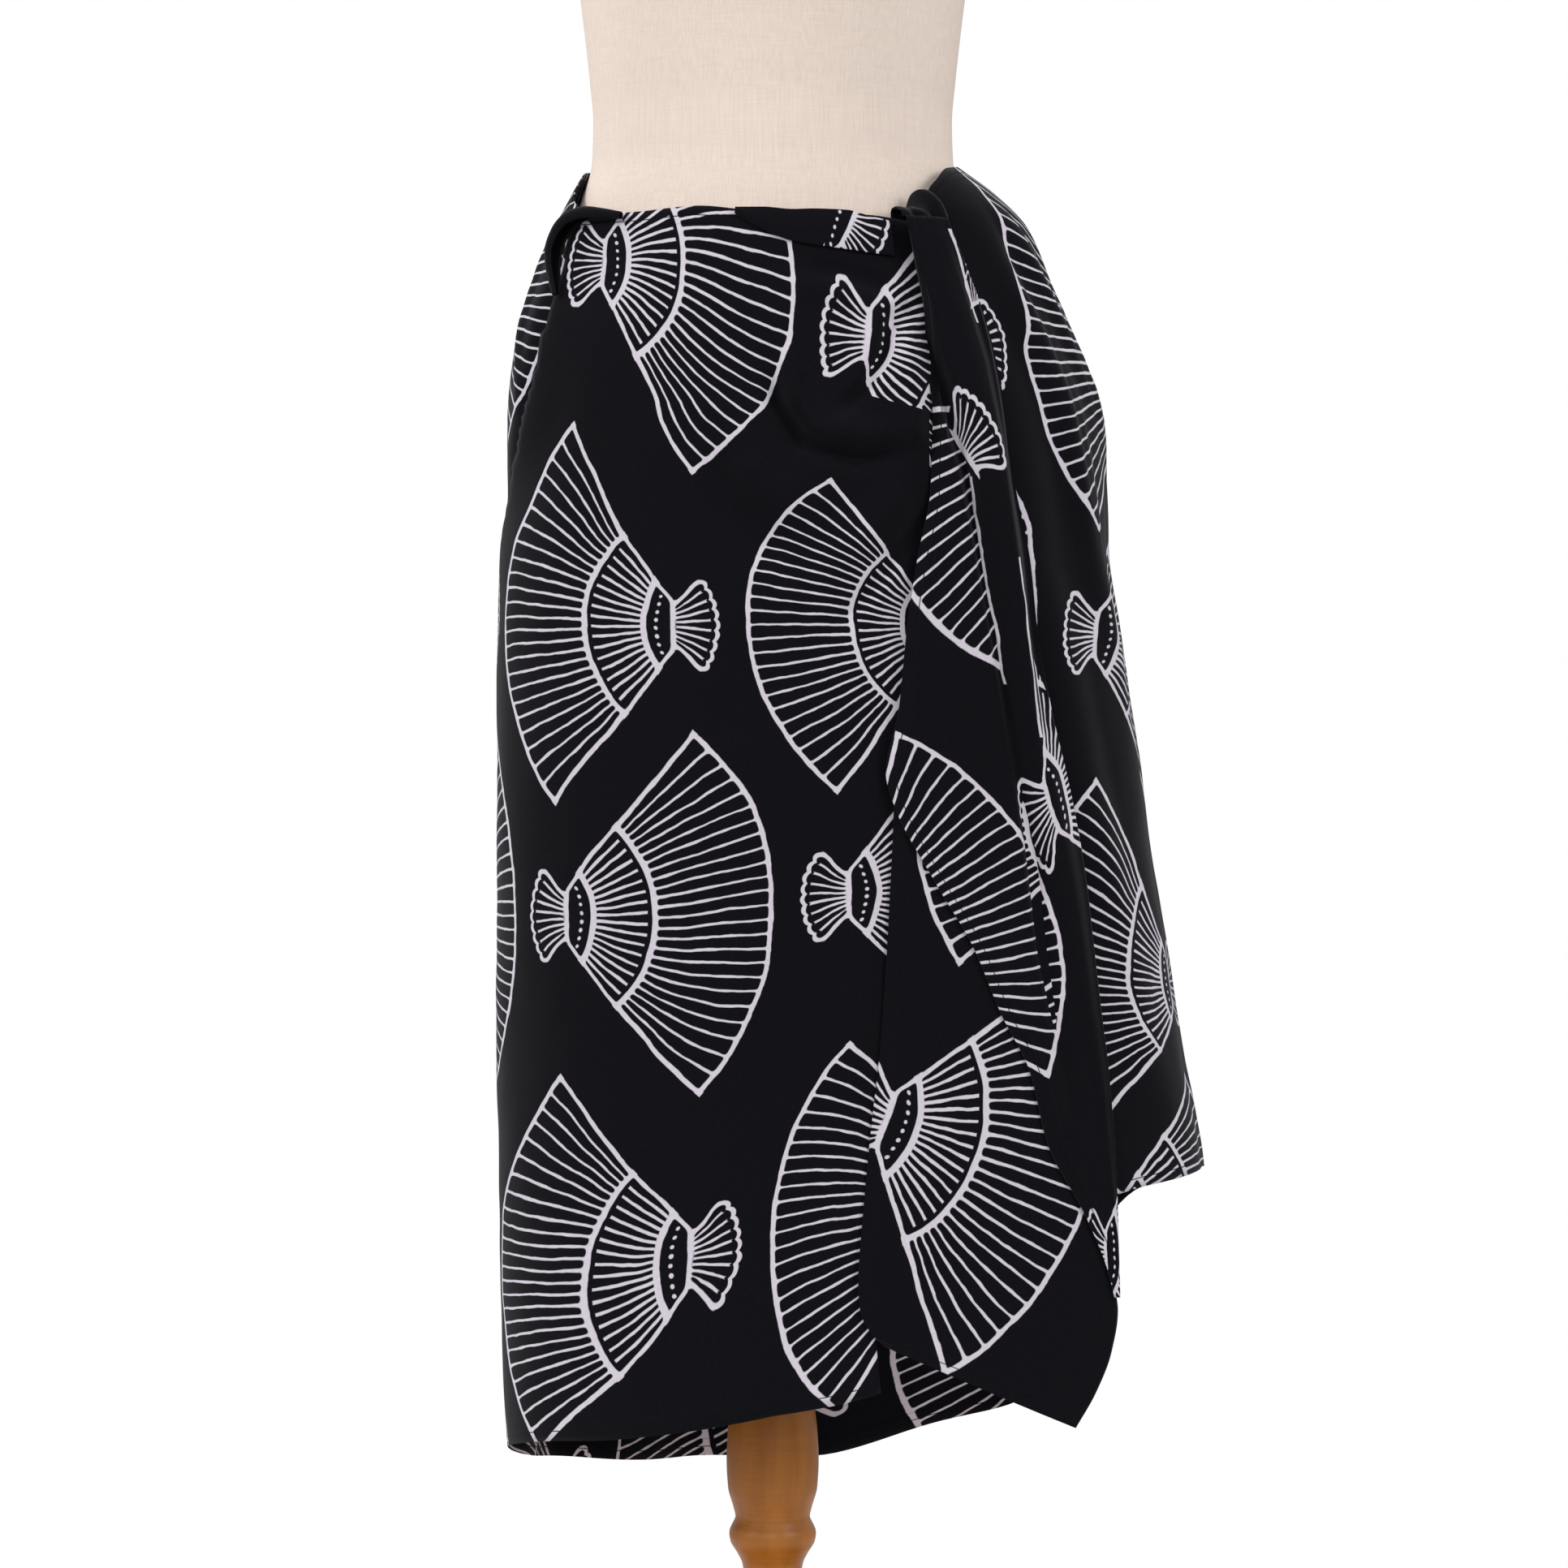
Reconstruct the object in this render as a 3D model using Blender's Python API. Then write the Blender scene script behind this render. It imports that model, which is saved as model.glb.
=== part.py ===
"""A batik sarong wrapped and tied round the hips of a limbless dress form on a turned wooden post.

Metres, +Z up. The origin is the centre of the base's underside, and the front faces -Y.
Round the form, a bearing of 0 degrees is +X, 90 is the back, 180 is -X and 270 is the front.
"""

import math
from collections import namedtuple

import bmesh
import bpy
from mathutils import Vector

# Driving sizes
CLOTH_WALL = 0.0016
SEAM_GAP = 0.0003
CLOTH_SEAM = 0.00045
SEAT_GAP = 0.0010
LAYER = CLOTH_WALL + 0.0009
FRONT_LIFT = 0.0045
FRONT_LIFT_STARTS = 185
FRONT_LIFT_RUN = 50
TAIL_UNDER_LIFT = 0.0085
TAIL_OVER_LIFT = 0.0125
POST_TOP = 0.842
POST_FOOT = 0.052
BASE_HEIGHT = POST_FOOT - SEAM_GAP
FORM_STEPS = 44
WOOD_STEPS = 28
SHARP_ANGLE = 50

# The linen torso: half its width, and its reach to the front and to the back, at each height.
FormRow = namedtuple("FormRow", "height side front back")
FORM = (
    FormRow(0.8423, 0.118, 0.074, 0.080),
    FormRow(0.848, 0.143, 0.092, 0.098),
    FormRow(0.866, 0.160, 0.104, 0.112),
    FormRow(0.910, 0.1675, 0.110, 0.120),
    FormRow(0.965, 0.1665, 0.110, 0.119),
    FormRow(1.020, 0.157, 0.1055, 0.112),
    FormRow(1.065, 0.145, 0.1005, 0.102),
    FormRow(1.105, 0.1335, 0.0965, 0.0945),
    FormRow(1.139, 0.1245, 0.0940, 0.0895),
    FormRow(1.165, 0.1237, 0.0940, 0.0885),
    FormRow(1.195, 0.1262, 0.0965, 0.0905),
    FormRow(1.251, 0.1327, 0.1040, 0.0965),
    FormRow(1.310, 0.1410, 0.1180, 0.1030),
    FormRow(1.360, 0.1475, 0.1290, 0.1060),
    FormRow(1.405, 0.1515, 0.1240, 0.1070),
    FormRow(1.450, 0.1560, 0.1060, 0.1040),
    FormRow(1.485, 0.1560, 0.0880, 0.0940),
    FormRow(1.508, 0.1400, 0.0760, 0.0820),
    FormRow(1.524, 0.1090, 0.0660, 0.0700),
    FormRow(1.538, 0.0780, 0.0575, 0.0610),
    FormRow(1.556, 0.0570, 0.0510, 0.0540),
    FormRow(1.590, 0.0510, 0.0475, 0.0500),
    FormRow(1.598, 0.0460, 0.0430, 0.0450),
)

# The wrapped cloth: its reach from the axis to the left, right, front and back, at each height.
WrapRow = namedtuple("WrapRow", "height left right front back")
WRAP = (
    WrapRow(0.200, 0.180, 0.300, 0.125, 0.137),
    WrapRow(0.340, 0.186, 0.300, 0.125, 0.136),
    WrapRow(0.444, 0.188, 0.295, 0.125, 0.136),
    WrapRow(0.520, 0.1895, 0.2825, 0.125, 0.1355),
    WrapRow(0.600, 0.190, 0.269, 0.125, 0.135),
    WrapRow(0.700, 0.190, 0.2545, 0.125, 0.134),
    WrapRow(0.790, 0.190, 0.242, 0.125, 0.133),
    WrapRow(0.870, 0.1865, 0.230, 0.124, 0.132),
    WrapRow(0.910, 0.182, 0.2285, 0.123, 0.131),
    WrapRow(0.960, 0.1825, 0.224, 0.121, 0.128),
    WrapRow(1.010, 0.1775, 0.209, 0.117, 0.122),
    WrapRow(1.060, 0.162, 0.188, 0.111, 0.110),
    WrapRow(1.090, 0.1515, 0.176, 0.107, 0.101),
    WrapRow(1.113, 0.1395, 0.155, 0.1035, 0.094),
    WrapRow(1.134, 0.127, 0.127, 0.100, 0.090),
)

# The cut edges of the wrap, from the hidden inner end, round the back, to the deep fold at the front.
EdgeRow = namedtuple("EdgeRow", "bearing top hem")
EDGES = (
    EdgeRow(-84, 1.080, 0.395),
    EdgeRow(-64, 1.082, 0.412),
    EdgeRow(-46, 1.113, 0.429),
    EdgeRow(-30, 1.127, 0.440),
    EdgeRow(0, 1.133, 0.446),
    EdgeRow(16, 1.132, 0.440),
    EdgeRow(29, 1.131, 0.424),
    EdgeRow(36, 1.130, 0.400),
    EdgeRow(45, 1.129, 0.325),
    EdgeRow(54, 1.128, 0.267),
    EdgeRow(68, 1.127, 0.247),
    EdgeRow(85, 1.127, 0.2245),
    EdgeRow(110, 1.128, 0.2225),
    EdgeRow(133, 1.130, 0.228),
    EdgeRow(167, 1.134, 0.2425),
    EdgeRow(180, 1.131, 0.252),
    EdgeRow(203, 1.103, 0.2636),
    EdgeRow(218, 1.092, 0.270),
    EdgeRow(232, 1.0915, 0.274),
    EdgeRow(246, 1.0934, 0.280),
    EdgeRow(262, 1.0885, 0.289),
    EdgeRow(281, 1.0875, 0.3047),
    EdgeRow(291, 1.083, 0.3226),
    EdgeRow(300, 1.079, 0.330),
)
INNER_END = -84
SIDE_SEAM = 0
MIDDLE_HEIGHT = 0.7

# The line on the wearer's right hip where the front stretch folds over the back stretch, and the
# deep fold beside the tail, where the front stretch turns in.
CreaseRow = namedtuple("CreaseRow", "height bearing depth")
HIP_CREASE = (
    CreaseRow(0.200, 180, 0.0),
    CreaseRow(0.820, 180, 0.0),
    CreaseRow(0.870, 182, 0.0010),
    CreaseRow(0.919, 194, 0.0035),
    CreaseRow(0.950, 203, 0.0050),
    CreaseRow(1.008, 211, 0.0055),
    CreaseRow(1.046, 212, 0.0050),
    CreaseRow(1.100, 207, 0.0040),
    CreaseRow(1.134, 196, 0.0020),
)
CREASE_OVER_SHARE = 0.6
CREASE_OVER_WIDTH = 16
CREASE_UNDER_WIDTH = 9
ValleyRow = namedtuple("ValleyRow", "height across")
VALLEY = (
    ValleyRow(0.300, 0.0600),
    ValleyRow(0.3663, 0.0553),
    ValleyRow(0.425, 0.0591),
    ValleyRow(0.537, 0.0700),
    ValleyRow(0.638, 0.0768),
    ValleyRow(0.760, 0.0822),
    ValleyRow(0.820, 0.0887),
    ValleyRow(0.885, 0.1005),
    ValleyRow(0.971, 0.1025),
    ValleyRow(1.014, 0.1000),
    ValleyRow(1.055, 0.0890),
    ValleyRow(1.090, 0.0820),
)
VALLEY_TUCK = 0.012
VALLEY_RUN_IN = 0.020
VALLEY_TOP = 1.02
VALLEY_FADE = 0.10

# Large soft folds: each runs from one bearing and height to another and stands out, or sinks, by its rise.
FoldRow = namedtuple("FoldRow", "top_height top_bearing foot_height foot_bearing rise width")
WRAP_FOLDS = (
    FoldRow(1.085, -52, 0.560, -27, 0.0065, 5.5),
    FoldRow(1.110, -40, 0.800, -14, 0.0075, 5.0),
    FoldRow(1.110, -26, 0.950, -4, 0.0055, 4.5),
    FoldRow(1.110, 10, 0.440, 8, 0.0060, 5.0),
    FoldRow(1.115, 24, 0.360, 38, -0.0100, 6.0),
    FoldRow(1.115, 36, 0.300, 60, 0.0120, 6.5),
    FoldRow(1.110, 52, 0.260, 84, -0.0095, 6.5),
    FoldRow(1.110, 66, 0.240, 106, 0.0110, 7.0),
    FoldRow(1.105, 84, 0.235, 128, -0.0080, 7.0),
    FoldRow(1.090, 104, 0.235, 146, 0.0085, 7.0),
    FoldRow(1.080, 150, 0.240, 165, -0.0050, 6.0),
    FoldRow(1.050, 296, 0.900, 276, 0.0045, 5.0),
    FoldRow(1.010, 297, 0.860, 286, 0.0040, 4.0),
)
FOLD_FADE = 0.3
OPEN_FOLD_FOOT = 0.5

# The tail's outline across the front. The over layer ends at its free edge on the left and turns
# under at the fold on the right.
TailRow = namedtuple("TailRow", "height free_edge fold")
TAIL_OVER = (
    TailRow(1.086, 0.0826, 0.1120),
    TailRow(1.055, 0.0900, 0.1250),
    TailRow(1.023, 0.0980, 0.1362),
    TailRow(0.990, 0.1010, 0.1450),
    TailRow(0.950, 0.1040, 0.1520),
    TailRow(0.906, 0.1030, 0.1581),
    TailRow(0.860, 0.0940, 0.1663),
    TailRow(0.810, 0.0868, 0.1720),
    TailRow(0.760, 0.0819, 0.1805),
    TailRow(0.7175, 0.0735, 0.1905),
    TailRow(0.6945, 0.0792, 0.1955),
    TailRow(0.6454, 0.1050, 0.2040),
    TailRow(0.6025, 0.1298, 0.2090),
    TailRow(0.5579, 0.1482, 0.2143),
    TailRow(0.5206, 0.1667, 0.2190),
    TailRow(0.4710, 0.1792, 0.2232),
    TailRow(0.4234, 0.2039, 0.2255),
    TailRow(0.3854, 0.2190, 0.2265),
    TailRow(0.3680, 0.2232, 0.2266),
)
UnderRow = namedtuple("UnderRow", "left_height left right_height right")
TAIL_UNDER = (
    UnderRow(0.725, 0.0800, 0.725, 0.1790),
    UnderRow(0.685, 0.0790, 0.685, 0.1880),
    UnderRow(0.638, 0.0768, 0.628, 0.1975),
    UnderRow(0.590, 0.0742, 0.560, 0.2060),
    UnderRow(0.537, 0.0705, 0.500, 0.2130),
    UnderRow(0.480, 0.0642, 0.440, 0.2175),
    UnderRow(0.425, 0.0591, 0.395, 0.2200),
    UnderRow(0.3850, 0.0562, 0.359, 0.2268),
    UnderRow(0.3640, 0.0575, 0.3315, 0.2225),
    UnderRow(0.3480, 0.0655, 0.3050, 0.2120),
    UnderRow(0.3400, 0.0739, 0.2823, 0.1985),
)

UNDER_TURN_SHARE = 0.08
UNDER_TURN_IN = 0.0032
UNDER_DRAPE = 0.0025

# The black ridge that falls from the knot across the tail: where it starts, as a share of the
# tail's width from its left edge, and how far it stands out.
RidgeRow = namedtuple("RidgeRow", "height share rise")
TAIL_RIDGE = (
    RidgeRow(0.368, 0.88, 0.0),
    RidgeRow(0.520, 0.84, 0.0010),
    RidgeRow(0.640, 0.80, 0.0050),
    RidgeRow(0.776, 0.76, 0.0085),
    RidgeRow(0.860, 0.62, 0.0095),
    RidgeRow(0.943, 0.42, 0.0100),
    RidgeRow(1.010, 0.12, 0.0090),
    RidgeRow(1.086, 0.00, 0.0070),
)

RIDGE_CLIMB = 0.13
FREE_EDGE_TOP = 0.715
FREE_EDGE_FADE = 0.04
FREE_EDGE_SHARE = 0.50
FREE_EDGE_SETTLE = 0.0012
OVER_TURN_SHARE = 0.10
OVER_TURN_IN = 0.0040
FOLD_SHARE = 0.14
FOLD_SINK = 0.0015

# The rolled fold over the wearer's right hip: the path of its roll along the top edge.
HipRow = namedtuple("HipRow", "bearing height lift radius")
HIP_FOLD = (
    HipRow(231, 1.0885, 0.0064, 0.0026),
    HipRow(225, 1.0905, 0.0080, 0.0040),
    HipRow(219, 1.0920, 0.0092, 0.0050),
    HipRow(214, 1.0895, 0.0102, 0.0058),
    HipRow(211, 1.0825, 0.0108, 0.0062),
    HipRow(210, 1.0725, 0.0108, 0.0060),
    HipRow(211, 1.0615, 0.0100, 0.0052),
    HipRow(213.5, 1.0500, 0.0092, 0.0040),
    HipRow(216, 1.0390, 0.0082, 0.0028),
)
HIP_ROLL_OPENING = 110
ROLL_STEP = 0.02
OUTWARD_STEP = 0.01

# The strip of the top edge that is rolled over at the front, from its left tip to the knot.
TurnRow = namedtuple("TurnRow", "bearing top foot")
TURNOVER = (
    TurnRow(261.0, 1.0915, 1.0875),
    TurnRow(268.0, 1.0915, 1.0762),
    TurnRow(274.3, 1.0900, 1.0686),
    TurnRow(279.1, 1.0905, 1.0660),
    TurnRow(285.9, 1.0900, 1.0632),
    TurnRow(290.5, 1.0865, 1.0614),
    TurnRow(295.0, 1.0835, 1.0600),
)
TURNOVER_LIFT = FRONT_LIFT + LAYER
TURNOVER_BULGE = 0.0012

# The bunched cloth over the top edge at the tie, followed from the tail's top, over and inside.
KnotRow = namedtuple("KnotRow", "height lift left right")
KNOT = (
    KnotRow(1.0866, 0.0130, 0.0826, 0.1115),
    KnotRow(1.0960, 0.0120, 0.0820, 0.1080),
    KnotRow(1.1035, 0.0080, 0.0815, 0.1040),
    KnotRow(1.1070, 0.0020, 0.0812, 0.1015),
    KnotRow(1.1050, -0.0045, 0.0812, 0.0995),
    KnotRow(1.0970, -0.0080, 0.0815, 0.0985),
    KnotRow(1.0850, -0.0085, 0.0820, 0.0985),
)
KNOT_PLEATS = 2
KNOT_PLEAT_RISE = 0.0022

# The turned post, from its foot on the base to the torso: the radius at each height.
TurnedRow = namedtuple("TurnedRow", "height radius")
POST = (
    TurnedRow(POST_FOOT, 0.0310),
    TurnedRow(0.066, 0.0330),
    TurnedRow(0.080, 0.0300),
    TurnedRow(0.088, 0.0215),
    TurnedRow(0.104, 0.0200),
    TurnedRow(0.132, 0.0255),
    TurnedRow(0.146, 0.0225),
    TurnedRow(0.160, 0.0196),
    TurnedRow(0.172, 0.0208),
    TurnedRow(0.182, 0.0255),
    TurnedRow(0.1875, 0.0290),
    TurnedRow(0.1940, 0.0300),
    TurnedRow(0.2000, 0.0278),
    TurnedRow(0.2045, 0.0256),
    TurnedRow(0.2120, 0.0272),
    TurnedRow(0.2250, 0.0308),
    TurnedRow(0.2430, 0.0318),
    TurnedRow(0.2630, 0.0310),
    TurnedRow(0.2900, 0.0270),
    TurnedRow(0.3200, 0.0215),
    TurnedRow(0.3600, 0.0180),
    TurnedRow(0.4400, 0.0172),
    TurnedRow(POST_TOP, 0.0172),
)
BASE = (
    TurnedRow(0.0, 0.1980),
    TurnedRow(0.0050, 0.2010),
    TurnedRow(0.0140, 0.2010),
    TurnedRow(0.0200, 0.1960),
    TurnedRow(0.0260, 0.1800),
    TurnedRow(0.0300, 0.1300),
    TurnedRow(0.0340, 0.0800),
    TurnedRow(0.0430, 0.0560),
    TurnedRow(BASE_HEIGHT, 0.0500),
)

FinishRow = namedtuple("FinishRow", "red green blue roughness")
BLACK_RAYON = FinishRow(0.008, 0.008, 0.011, 0.75)
CREAM_LINEN = FinishRow(0.68, 0.59, 0.52, 0.85)
TURNED_WOOD = FinishRow(0.27, 0.105, 0.025, 0.45)


def eased(value):
    """A smooth rise from 0 to 1, level at both ends."""
    value = min(1.0, max(0.0, value))
    return value * value * (3 - 2 * value)


def hump(distance):
    """1 at the middle of a fold and 0 beyond its width."""
    return eased(1 - abs(distance))


def along(rows, value, key, column):
    """Reads a column of a table at any value of its key, by a smooth curve that never overshoots a row."""
    places = [getattr(row, key) for row in rows]
    levels = [getattr(row, column) for row in rows]
    if places[0] > places[-1]:
        places.reverse()
        levels.reverse()
    if value <= places[0]:
        return levels[0]
    if value >= places[-1]:
        return levels[-1]
    last = len(places) - 1
    i = max(n for n in range(last) if places[n] <= value)
    slopes = [(levels[n + 1] - levels[n]) / (places[n + 1] - places[n]) for n in range(last)]

    def tangent(n):
        if n in (0, last):
            return slopes[0] if n == 0 else slopes[-1]
        before, after = slopes[n - 1], slopes[n]
        return 0.0 if before * after <= 0 else 2 * before * after / (before + after)

    width = places[i + 1] - places[i]
    t = (value - places[i]) / width
    start = levels[i] * (1 + 2 * t) * (1 - t) ** 2 + tangent(i) * width * t * (1 - t) ** 2
    end = levels[i + 1] * t * t * (3 - 2 * t) + tangent(i + 1) * width * t * t * (t - 1)
    return start + end


def stepped(rows):
    """The same rows with a step column in front, from 0 at the first row to 1 at the last."""
    Step = namedtuple("Step", ("step",) + rows[0]._fields)
    return [Step(n / (len(rows) - 1), *row) for n, row in enumerate(rows)]


def form_reach(height, side):
    """How far the torso reaches towards one side: side, front or back."""
    return along(FORM, height, "height", side)


def wrap_reach(height, side):
    """How far the cloth's middle reaches towards one side, never closer than its seat on the torso."""
    reach = along(WRAP, height, "height", side)
    form_side = side if side in ("front", "back") else "side"
    if height < FORM[0].height:
        return reach
    return max(reach, form_reach(height, form_side) + SEAT_GAP + CLOTH_WALL / 2)


def fold_rise(bearing, height):
    """The large soft folds of the wrap, added up at one place."""
    rise = 0.0
    for fold in WRAP_FOLDS:
        run = (fold.top_height - height) / (fold.top_height - fold.foot_height)
        if run < 0 or run > 1 + FOLD_FADE:
            continue
        middle = fold.top_bearing + (fold.foot_bearing - fold.top_bearing) * run
        fade = eased(run / FOLD_FADE) * (1 - eased((run - 1 + FOLD_FADE) / (2 * FOLD_FADE)))
        if fold.foot_height < OPEN_FOLD_FOOT:
            fade = eased(run / FOLD_FADE)
        rise += fold.rise * fade * hump((bearing - middle) / (2 * fold.width))
    return rise


def crease_rise(bearing, height):
    """The hip crease: the front stretch stands out beside it and the back stretch sinks under it."""
    line = along(HIP_CREASE, height, "height", "bearing")
    depth = along(HIP_CREASE, height, "height", "depth")
    away = bearing - line
    if away >= 0:
        return CREASE_OVER_SHARE * depth * hump(away / CREASE_OVER_WIDTH)
    return -depth * hump(away / CREASE_UNDER_WIDTH)


def wrap_lift(bearing):
    """The front stretch lies over the inner end, so it stands further out."""
    return FRONT_LIFT * eased((bearing - FRONT_LIFT_STARTS) / FRONT_LIFT_RUN)


def on_wrap(bearing, height, lift):
    """A point of the wrap at a bearing and height, moved out by the lift."""
    angle = math.radians(bearing)
    width = wrap_reach(height, "right" if math.cos(angle) > 0 else "left")
    depth = wrap_reach(height, "back" if math.sin(angle) > 0 else "front")
    outward = Vector((math.cos(angle) / width, math.sin(angle) / depth, 0)).normalized()
    return Vector((width * math.cos(angle), depth * math.sin(angle), height)) + outward * lift


def wrap_point(bearing, height):
    lift = wrap_lift(bearing) + fold_rise(bearing, height) + crease_rise(bearing, height)
    return on_wrap(bearing, height, lift)


def bearing_across(across, height):
    """The bearing of the point on the wrap's right front that lies this far across."""
    share = across / wrap_reach(height, "right")
    return 360 - math.degrees(math.acos(min(1.0, max(-1.0, share))))


def on_front(across, height, lift):
    return on_wrap(bearing_across(across, height), height, lift)


def new_material(name, finish):
    material = bpy.data.materials.new(name)
    material.use_nodes = True
    shader = material.node_tree.nodes["Principled BSDF"]
    shader.inputs["Base Color"].default_value = (finish.red, finish.green, finish.blue, 1)
    shader.inputs["Roughness"].default_value = finish.roughness
    shader.inputs["Metallic"].default_value = 0.0
    return material


def add_object(name, mesh, material):
    thing = bpy.data.objects.new(name, mesh)
    thing.data.materials.append(material)
    bpy.context.scene.collection.objects.link(thing)
    thing.data.shade_smooth()
    return thing


def cloth_wall(name, across_steps, down_steps, place, material):
    """A cloth wall: a grid laid on place(u, v), with its faces outwards, thickened to both sides."""
    grid = bmesh.new()
    bmesh.ops.create_grid(grid, x_segments=across_steps, y_segments=down_steps, size=0.5)
    for corner in grid.verts:
        corner.co = place(corner.co.x + 0.5, 0.5 - corner.co.y)
    mesh = bpy.data.meshes.new(name)
    grid.to_mesh(mesh)
    grid.free()
    thing = add_object(name, mesh, material)
    wall = thing.modifiers.new("Wall", "SOLIDIFY")
    wall.thickness = CLOTH_WALL
    wall.offset = 0.0
    return thing


def ringed_solid(name, rings, material):
    """A closed solid through rings of points, with a flat cap at each end."""
    shape = bmesh.new()
    previous = None
    for ring in rings:
        loop = [shape.verts.new(point) for point in ring]
        if previous is None:
            shape.faces.new(reversed(loop))
        else:
            for i in range(len(loop)):
                j = (i + 1) % len(loop)
                shape.faces.new((previous[i], previous[j], loop[j], loop[i]))
        previous = loop
    shape.faces.new(previous)
    mesh = bpy.data.meshes.new(name)
    shape.to_mesh(mesh)
    shape.free()
    thing = add_object(name, mesh, material)
    mesh.set_sharp_from_angle(angle=math.radians(SHARP_ANGLE))
    return thing


def form_ring(row):
    ring = []
    for step in range(FORM_STEPS):
        angle = math.tau * step / FORM_STEPS
        depth = row.back if math.sin(angle) > 0 else row.front
        ring.append((row.side * math.cos(angle), depth * math.sin(angle), row.height))
    return ring


def turned_ring(row):
    angles = [math.tau * step / WOOD_STEPS for step in range(WOOD_STEPS)]
    return [(row.radius * math.cos(a), row.radius * math.sin(a), row.height) for a in angles]


def wrap_sheet_place(start_bearing, end_bearing):
    """Places a stretch of the wrap between two bearings, each a function of height."""

    def place(u, v):
        middle = start_bearing(MIDDLE_HEIGHT) * (1 - u) + end_bearing(MIDDLE_HEIGHT) * u
        top = along(EDGES, middle, "bearing", "top")
        hem = along(EDGES, middle, "bearing", "hem")
        height = top + (hem - top) * v
        start, end = start_bearing(height), end_bearing(height)
        return wrap_point(start + (end - start) * u, height)

    return place


def crease_bearing(height):
    return along(HIP_CREASE, height, "height", "bearing")


def seam_degrees(bearing, height):
    """Half the seam's gap, as degrees of bearing."""
    angle = math.radians(bearing)
    width = wrap_reach(height, "right" if math.cos(angle) > 0 else "left")
    depth = wrap_reach(height, "back" if math.sin(angle) > 0 else "front")
    pace = math.hypot(width * math.sin(angle), depth * math.cos(angle))
    return math.degrees(CLOTH_SEAM / 2 / pace)


def make_side_panel(material):
    def start(height):
        return INNER_END

    def end(height):
        return SIDE_SEAM - seam_degrees(SIDE_SEAM, height)

    cloth_wall("side_panel", 14, 14, wrap_sheet_place(start, end), material)


def make_back_panel(material):
    def start(height):
        return SIDE_SEAM + seam_degrees(SIDE_SEAM, height)

    def end(height):
        bearing = crease_bearing(height)
        return bearing - seam_degrees(bearing, height)

    cloth_wall("back_panel", 30, 18, wrap_sheet_place(start, end), material)


def make_front_panel(material):
    def start(height):
        bearing = crease_bearing(height)
        return bearing + seam_degrees(bearing, height)

    def end(height):
        across = along(VALLEY, height, "height", "across") + VALLEY_TUCK
        return bearing_across(across, height)

    flat = wrap_sheet_place(start, end)

    def place(u, v):
        point = flat(u, v)
        valley = along(VALLEY, point.z, "height", "across")
        sink = eased((point.x - valley + VALLEY_RUN_IN) / VALLEY_RUN_IN)
        sink *= eased((VALLEY_TOP - point.z) / VALLEY_FADE)
        point.y += (FRONT_LIFT - LAYER) * sink
        return point

    cloth_wall("front_panel", 20, 18, place, material)


def tail_under_lift(u, v):
    """The under layer's left side turns in towards the deep fold."""
    turn = 1 - eased(u / UNDER_TURN_SHARE)
    drape = UNDER_DRAPE * math.sin(math.pi * u) * eased(v)
    return TAIL_UNDER_LIFT - UNDER_TURN_IN * turn + drape


def make_tail_under(material):
    steps = stepped(TAIL_UNDER)

    def place(u, v):
        left_height = along(steps, v, "step", "left_height")
        right_height = along(steps, v, "step", "right_height")
        left = along(steps, v, "step", "left")
        right = along(steps, v, "step", "right")
        height = left_height + (right_height - left_height) * u
        return on_front(left + (right - left) * u, height, tail_under_lift(u, v))

    cloth_wall("tail_under", 10, 14, place, material)


def tail_over_lift(u, height):
    """The over layer: flat along its free edge, rounded at its fold, with the ridge from the knot."""
    free = eased((FREE_EDGE_TOP - height) / FREE_EDGE_FADE)
    turned_in = (1 - free) * eased((VALLEY_TOP - height) / FREE_EDGE_FADE)
    share = along(TAIL_RIDGE, height, "height", "share")
    rise = along(TAIL_RIDGE, height, "height", "rise")
    climb = eased((u - share + RIDGE_CLIMB) / RIDGE_CLIMB)
    round_off = eased((u - 1 + FOLD_SHARE) / FOLD_SHARE)
    lift = TAIL_OVER_LIFT + rise * climb
    lift -= FREE_EDGE_SETTLE * free * (1 - eased(u / FREE_EDGE_SHARE))
    lift -= OVER_TURN_IN * turned_in * (1 - eased(u / OVER_TURN_SHARE))
    return lift - (rise + FOLD_SINK) * round_off


def make_tail_over(material):
    top, foot = TAIL_OVER[0].height, TAIL_OVER[-1].height

    def place(u, v):
        height = top + (foot - top) * v
        left = along(TAIL_OVER, height, "height", "free_edge")
        right = along(TAIL_OVER, height, "height", "fold")
        return on_front(left + (right - left) * u, height, tail_over_lift(u, height))

    cloth_wall("tail_over", 14, 24, place, material)


def make_hip_fold(material):
    """An open roll of cloth along the top edge over the hip, hollow towards the front."""
    steps = stepped(HIP_FOLD)

    def middle(v):
        bearing = along(steps, v, "step", "bearing")
        height = along(steps, v, "step", "height")
        lift = wrap_lift(bearing) + along(steps, v, "step", "lift")
        return on_wrap(bearing, height, lift), on_wrap(bearing, height, lift + OUTWARD_STEP)

    def place(u, v):
        centre, further = middle(v)
        ahead = middle(min(1, v + ROLL_STEP))[0]
        behind = middle(max(0, v - ROLL_STEP))[0]
        run = (ahead - behind).normalized()
        outward = (further - centre).normalized()
        sideways = run.cross(outward).normalized()
        radius = along(steps, v, "step", "radius")
        angle = math.radians(HIP_ROLL_OPENING / 2 + (360 - HIP_ROLL_OPENING) * u)
        return centre - sideways * radius * math.cos(angle) + outward * radius * math.sin(angle)

    cloth_wall("hip_fold", 9, 12, place, material)


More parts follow.
